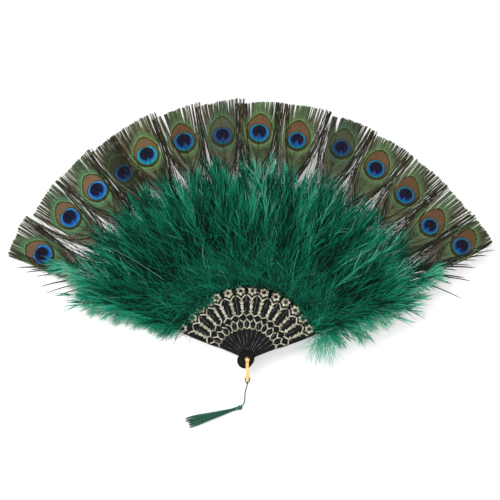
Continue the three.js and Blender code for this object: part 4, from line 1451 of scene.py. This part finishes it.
def thinLines(roots, heading, turn, length, fall):
    climb = np.zeros(len(roots))
    return curledLines(roots, heading, turn, length, climb, fall, hair["thinRings"])


def thinHairs(rng, lines, width, tones):
    count, rings = lines.shape[:2]
    widths = width * np.linspace(1, hair["thinEnd"], rings) * np.ones((count, 1))
    points, faces = strands(lines, widths, widths * hair["thinFlatness"])
    return points, faces, strandUV(rng.uniform(*tones, count), rings)


def plumeTones(rng, height, tones):
    base, rise, spread, low, high = tones
    # tone rises with the plume's height: painted shade on the low plumes
    return (base + rise * height + rng.normal(0, spread, len(height))).clip(low, high)


# A tuft's plumes with their quills, its loose hairs and, at an end of the fan, its side plumes
def tuftParts(rng, stick, tuft, left, right, foot, crest, endCrest):
    quills, height = tuftQuills(rng, stick, tuft, left, right, foot, crest)
    tones = plumeTones(rng, height, tuft["tones"])
    made = [hairsOf(rng, quills, tuft["hairs"], tuft["length"], tones, foot, crest)]
    made.append(plumeQuills(rng, quills, tones))
    for kind in tuft["loose"]:
        made.append(looseHairs(rng, stick, kind, tuft["start"], left, right, foot, crest))
    if stick in tuft["ends"]:
        quills, height = sideQuills(rng, stick, tuft["ends"][stick], foot, endCrest)
        tones = plumeTones(rng, height, tuft["endTones"])
        count, length = sidePlumes["hairs"], sidePlumes["length"]
        made.append(hairsOf(rng, quills, count, length, tones, foot, endCrest))
    return made


def addTuft(stick, side, made, finish):
    points, faces, uv = joinedWithUV(made)
    piece = addMesh(numbered(side + "_marabou", stick), points, faces, finish, uv)
    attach(piece, stickName(stick))
    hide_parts(numbered(side + "_down", stick))
    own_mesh(piece)
    return len(faces)


def addFrontTuft(stick, finish):
    rng = np.random.default_rng(frontTuft["seed"] + stick)
    crests = frontCrest(stick), frontCrest(stick, frontTuft["endCeiling"])
    left, right = (half * down["sector"] for half in halfSectors(stick))
    made = tuftParts(rng, stick, frontTuft, left, right, frontFoot(stick), *crests)
    if stick in strays["counts"]:
        made.append(strayHairs(rng, stick))
    if stick == lastStick:
        made.append(fallenHairs(rng))
    return addTuft(stick, "front", made, finish)


def addBackTuft(stick, finish):  # as wide as two sticks
    rng = np.random.default_rng(backTuft["seed"] + stick)
    foot, crest = flatLevel(down["backFoot"]), flatLevel(stickBottoms[stick] - down["backGap"])
    left, right = halfSectors(stick)
    right = right + (stickAngles[stick] - stickAngles[stick + 1])
    made = tuftParts(rng, stick, backTuft, left, right, foot, crest, crest)
    return addTuft(stick, "back", made, finish)


def addDown():
    finish = downFinish()
    total = sum(addFrontTuft(stick, finish) for stick in sticks)
    total += sum(addBackTuft(stick, finish) for stick in sticks if stick % 2 == 0)
    print("down made,", total, "triangles")


addDown()


# Stage and lights

stage = {"size": 6000, "floorColour": (246, 246, 246), "floorGlow": 0.4, "skyStrength": 0.68,
         "sunStrength": 1.15, "sunAngle": 34, "sunTilt": (-24, -22, 0)}


class Sky(Finish):  # the nodes of the world instead of a material's
    def __init__(self, world):
        self.tree = world.node_tree
        self.tree.nodes.clear()


def seenRays(finish):  # 1 for what the camera, a reflection or a clear pane shows, 0 for the light
    rays = ("Is Camera Ray", "Is Glossy Ray", "Is Transmission Ray")
    camera, glossy, through = (finish.node("LightPath", output=ray) for ray in rays)
    return (camera + glossy + through).orLess(1)


def addFloor():
    finish = Finish("floor_paper")
    size = stage["size"] / 2
    corners = [(-size, -size, 0), (size, -size, 0), (size, size, 0), (-size, size, 0)]
    glow = seenRays(finish) * stage["floorGlow"]
    material = finish.shade(
        Base_Color=stage["floorColour"], Roughness=0.9, Emission_Color=glow, Emission_Strength=1
    )
    faces = np.array([(0, 1, 2), (0, 2, 3)])
    floor = addMesh("floor", np.array(corners), faces, material, smooth=False)


def addLights():
    world = bpy.data.worlds.new("sky")
    bpy.context.scene.world = world
    world.use_nodes = True
    sky = Sky(world)
    strength = seenRays(sky) * (1 - stage["skyStrength"]) + stage["skyStrength"]
    surface = sky.node("Background", None, {"Color": (1, 1, 1, 1), "Strength": strength})
    sky.node("OutputWorld", None, {"Surface": surface})
    lamp = bpy.data.lights.new("sun", "SUN")
    lamp.energy = stage["sunStrength"]
    lamp.angle = math.radians(stage["sunAngle"])
    sun = bpy.data.objects.new("sun", lamp)
    sun.rotation_euler = [math.radians(turn) for turn in stage["sunTilt"]]
    bpy.context.scene.collection.objects.link(sun)


addFloor()
addLights()
bpy.context.scene.view_settings.view_transform = "Standard"
print("stage set")
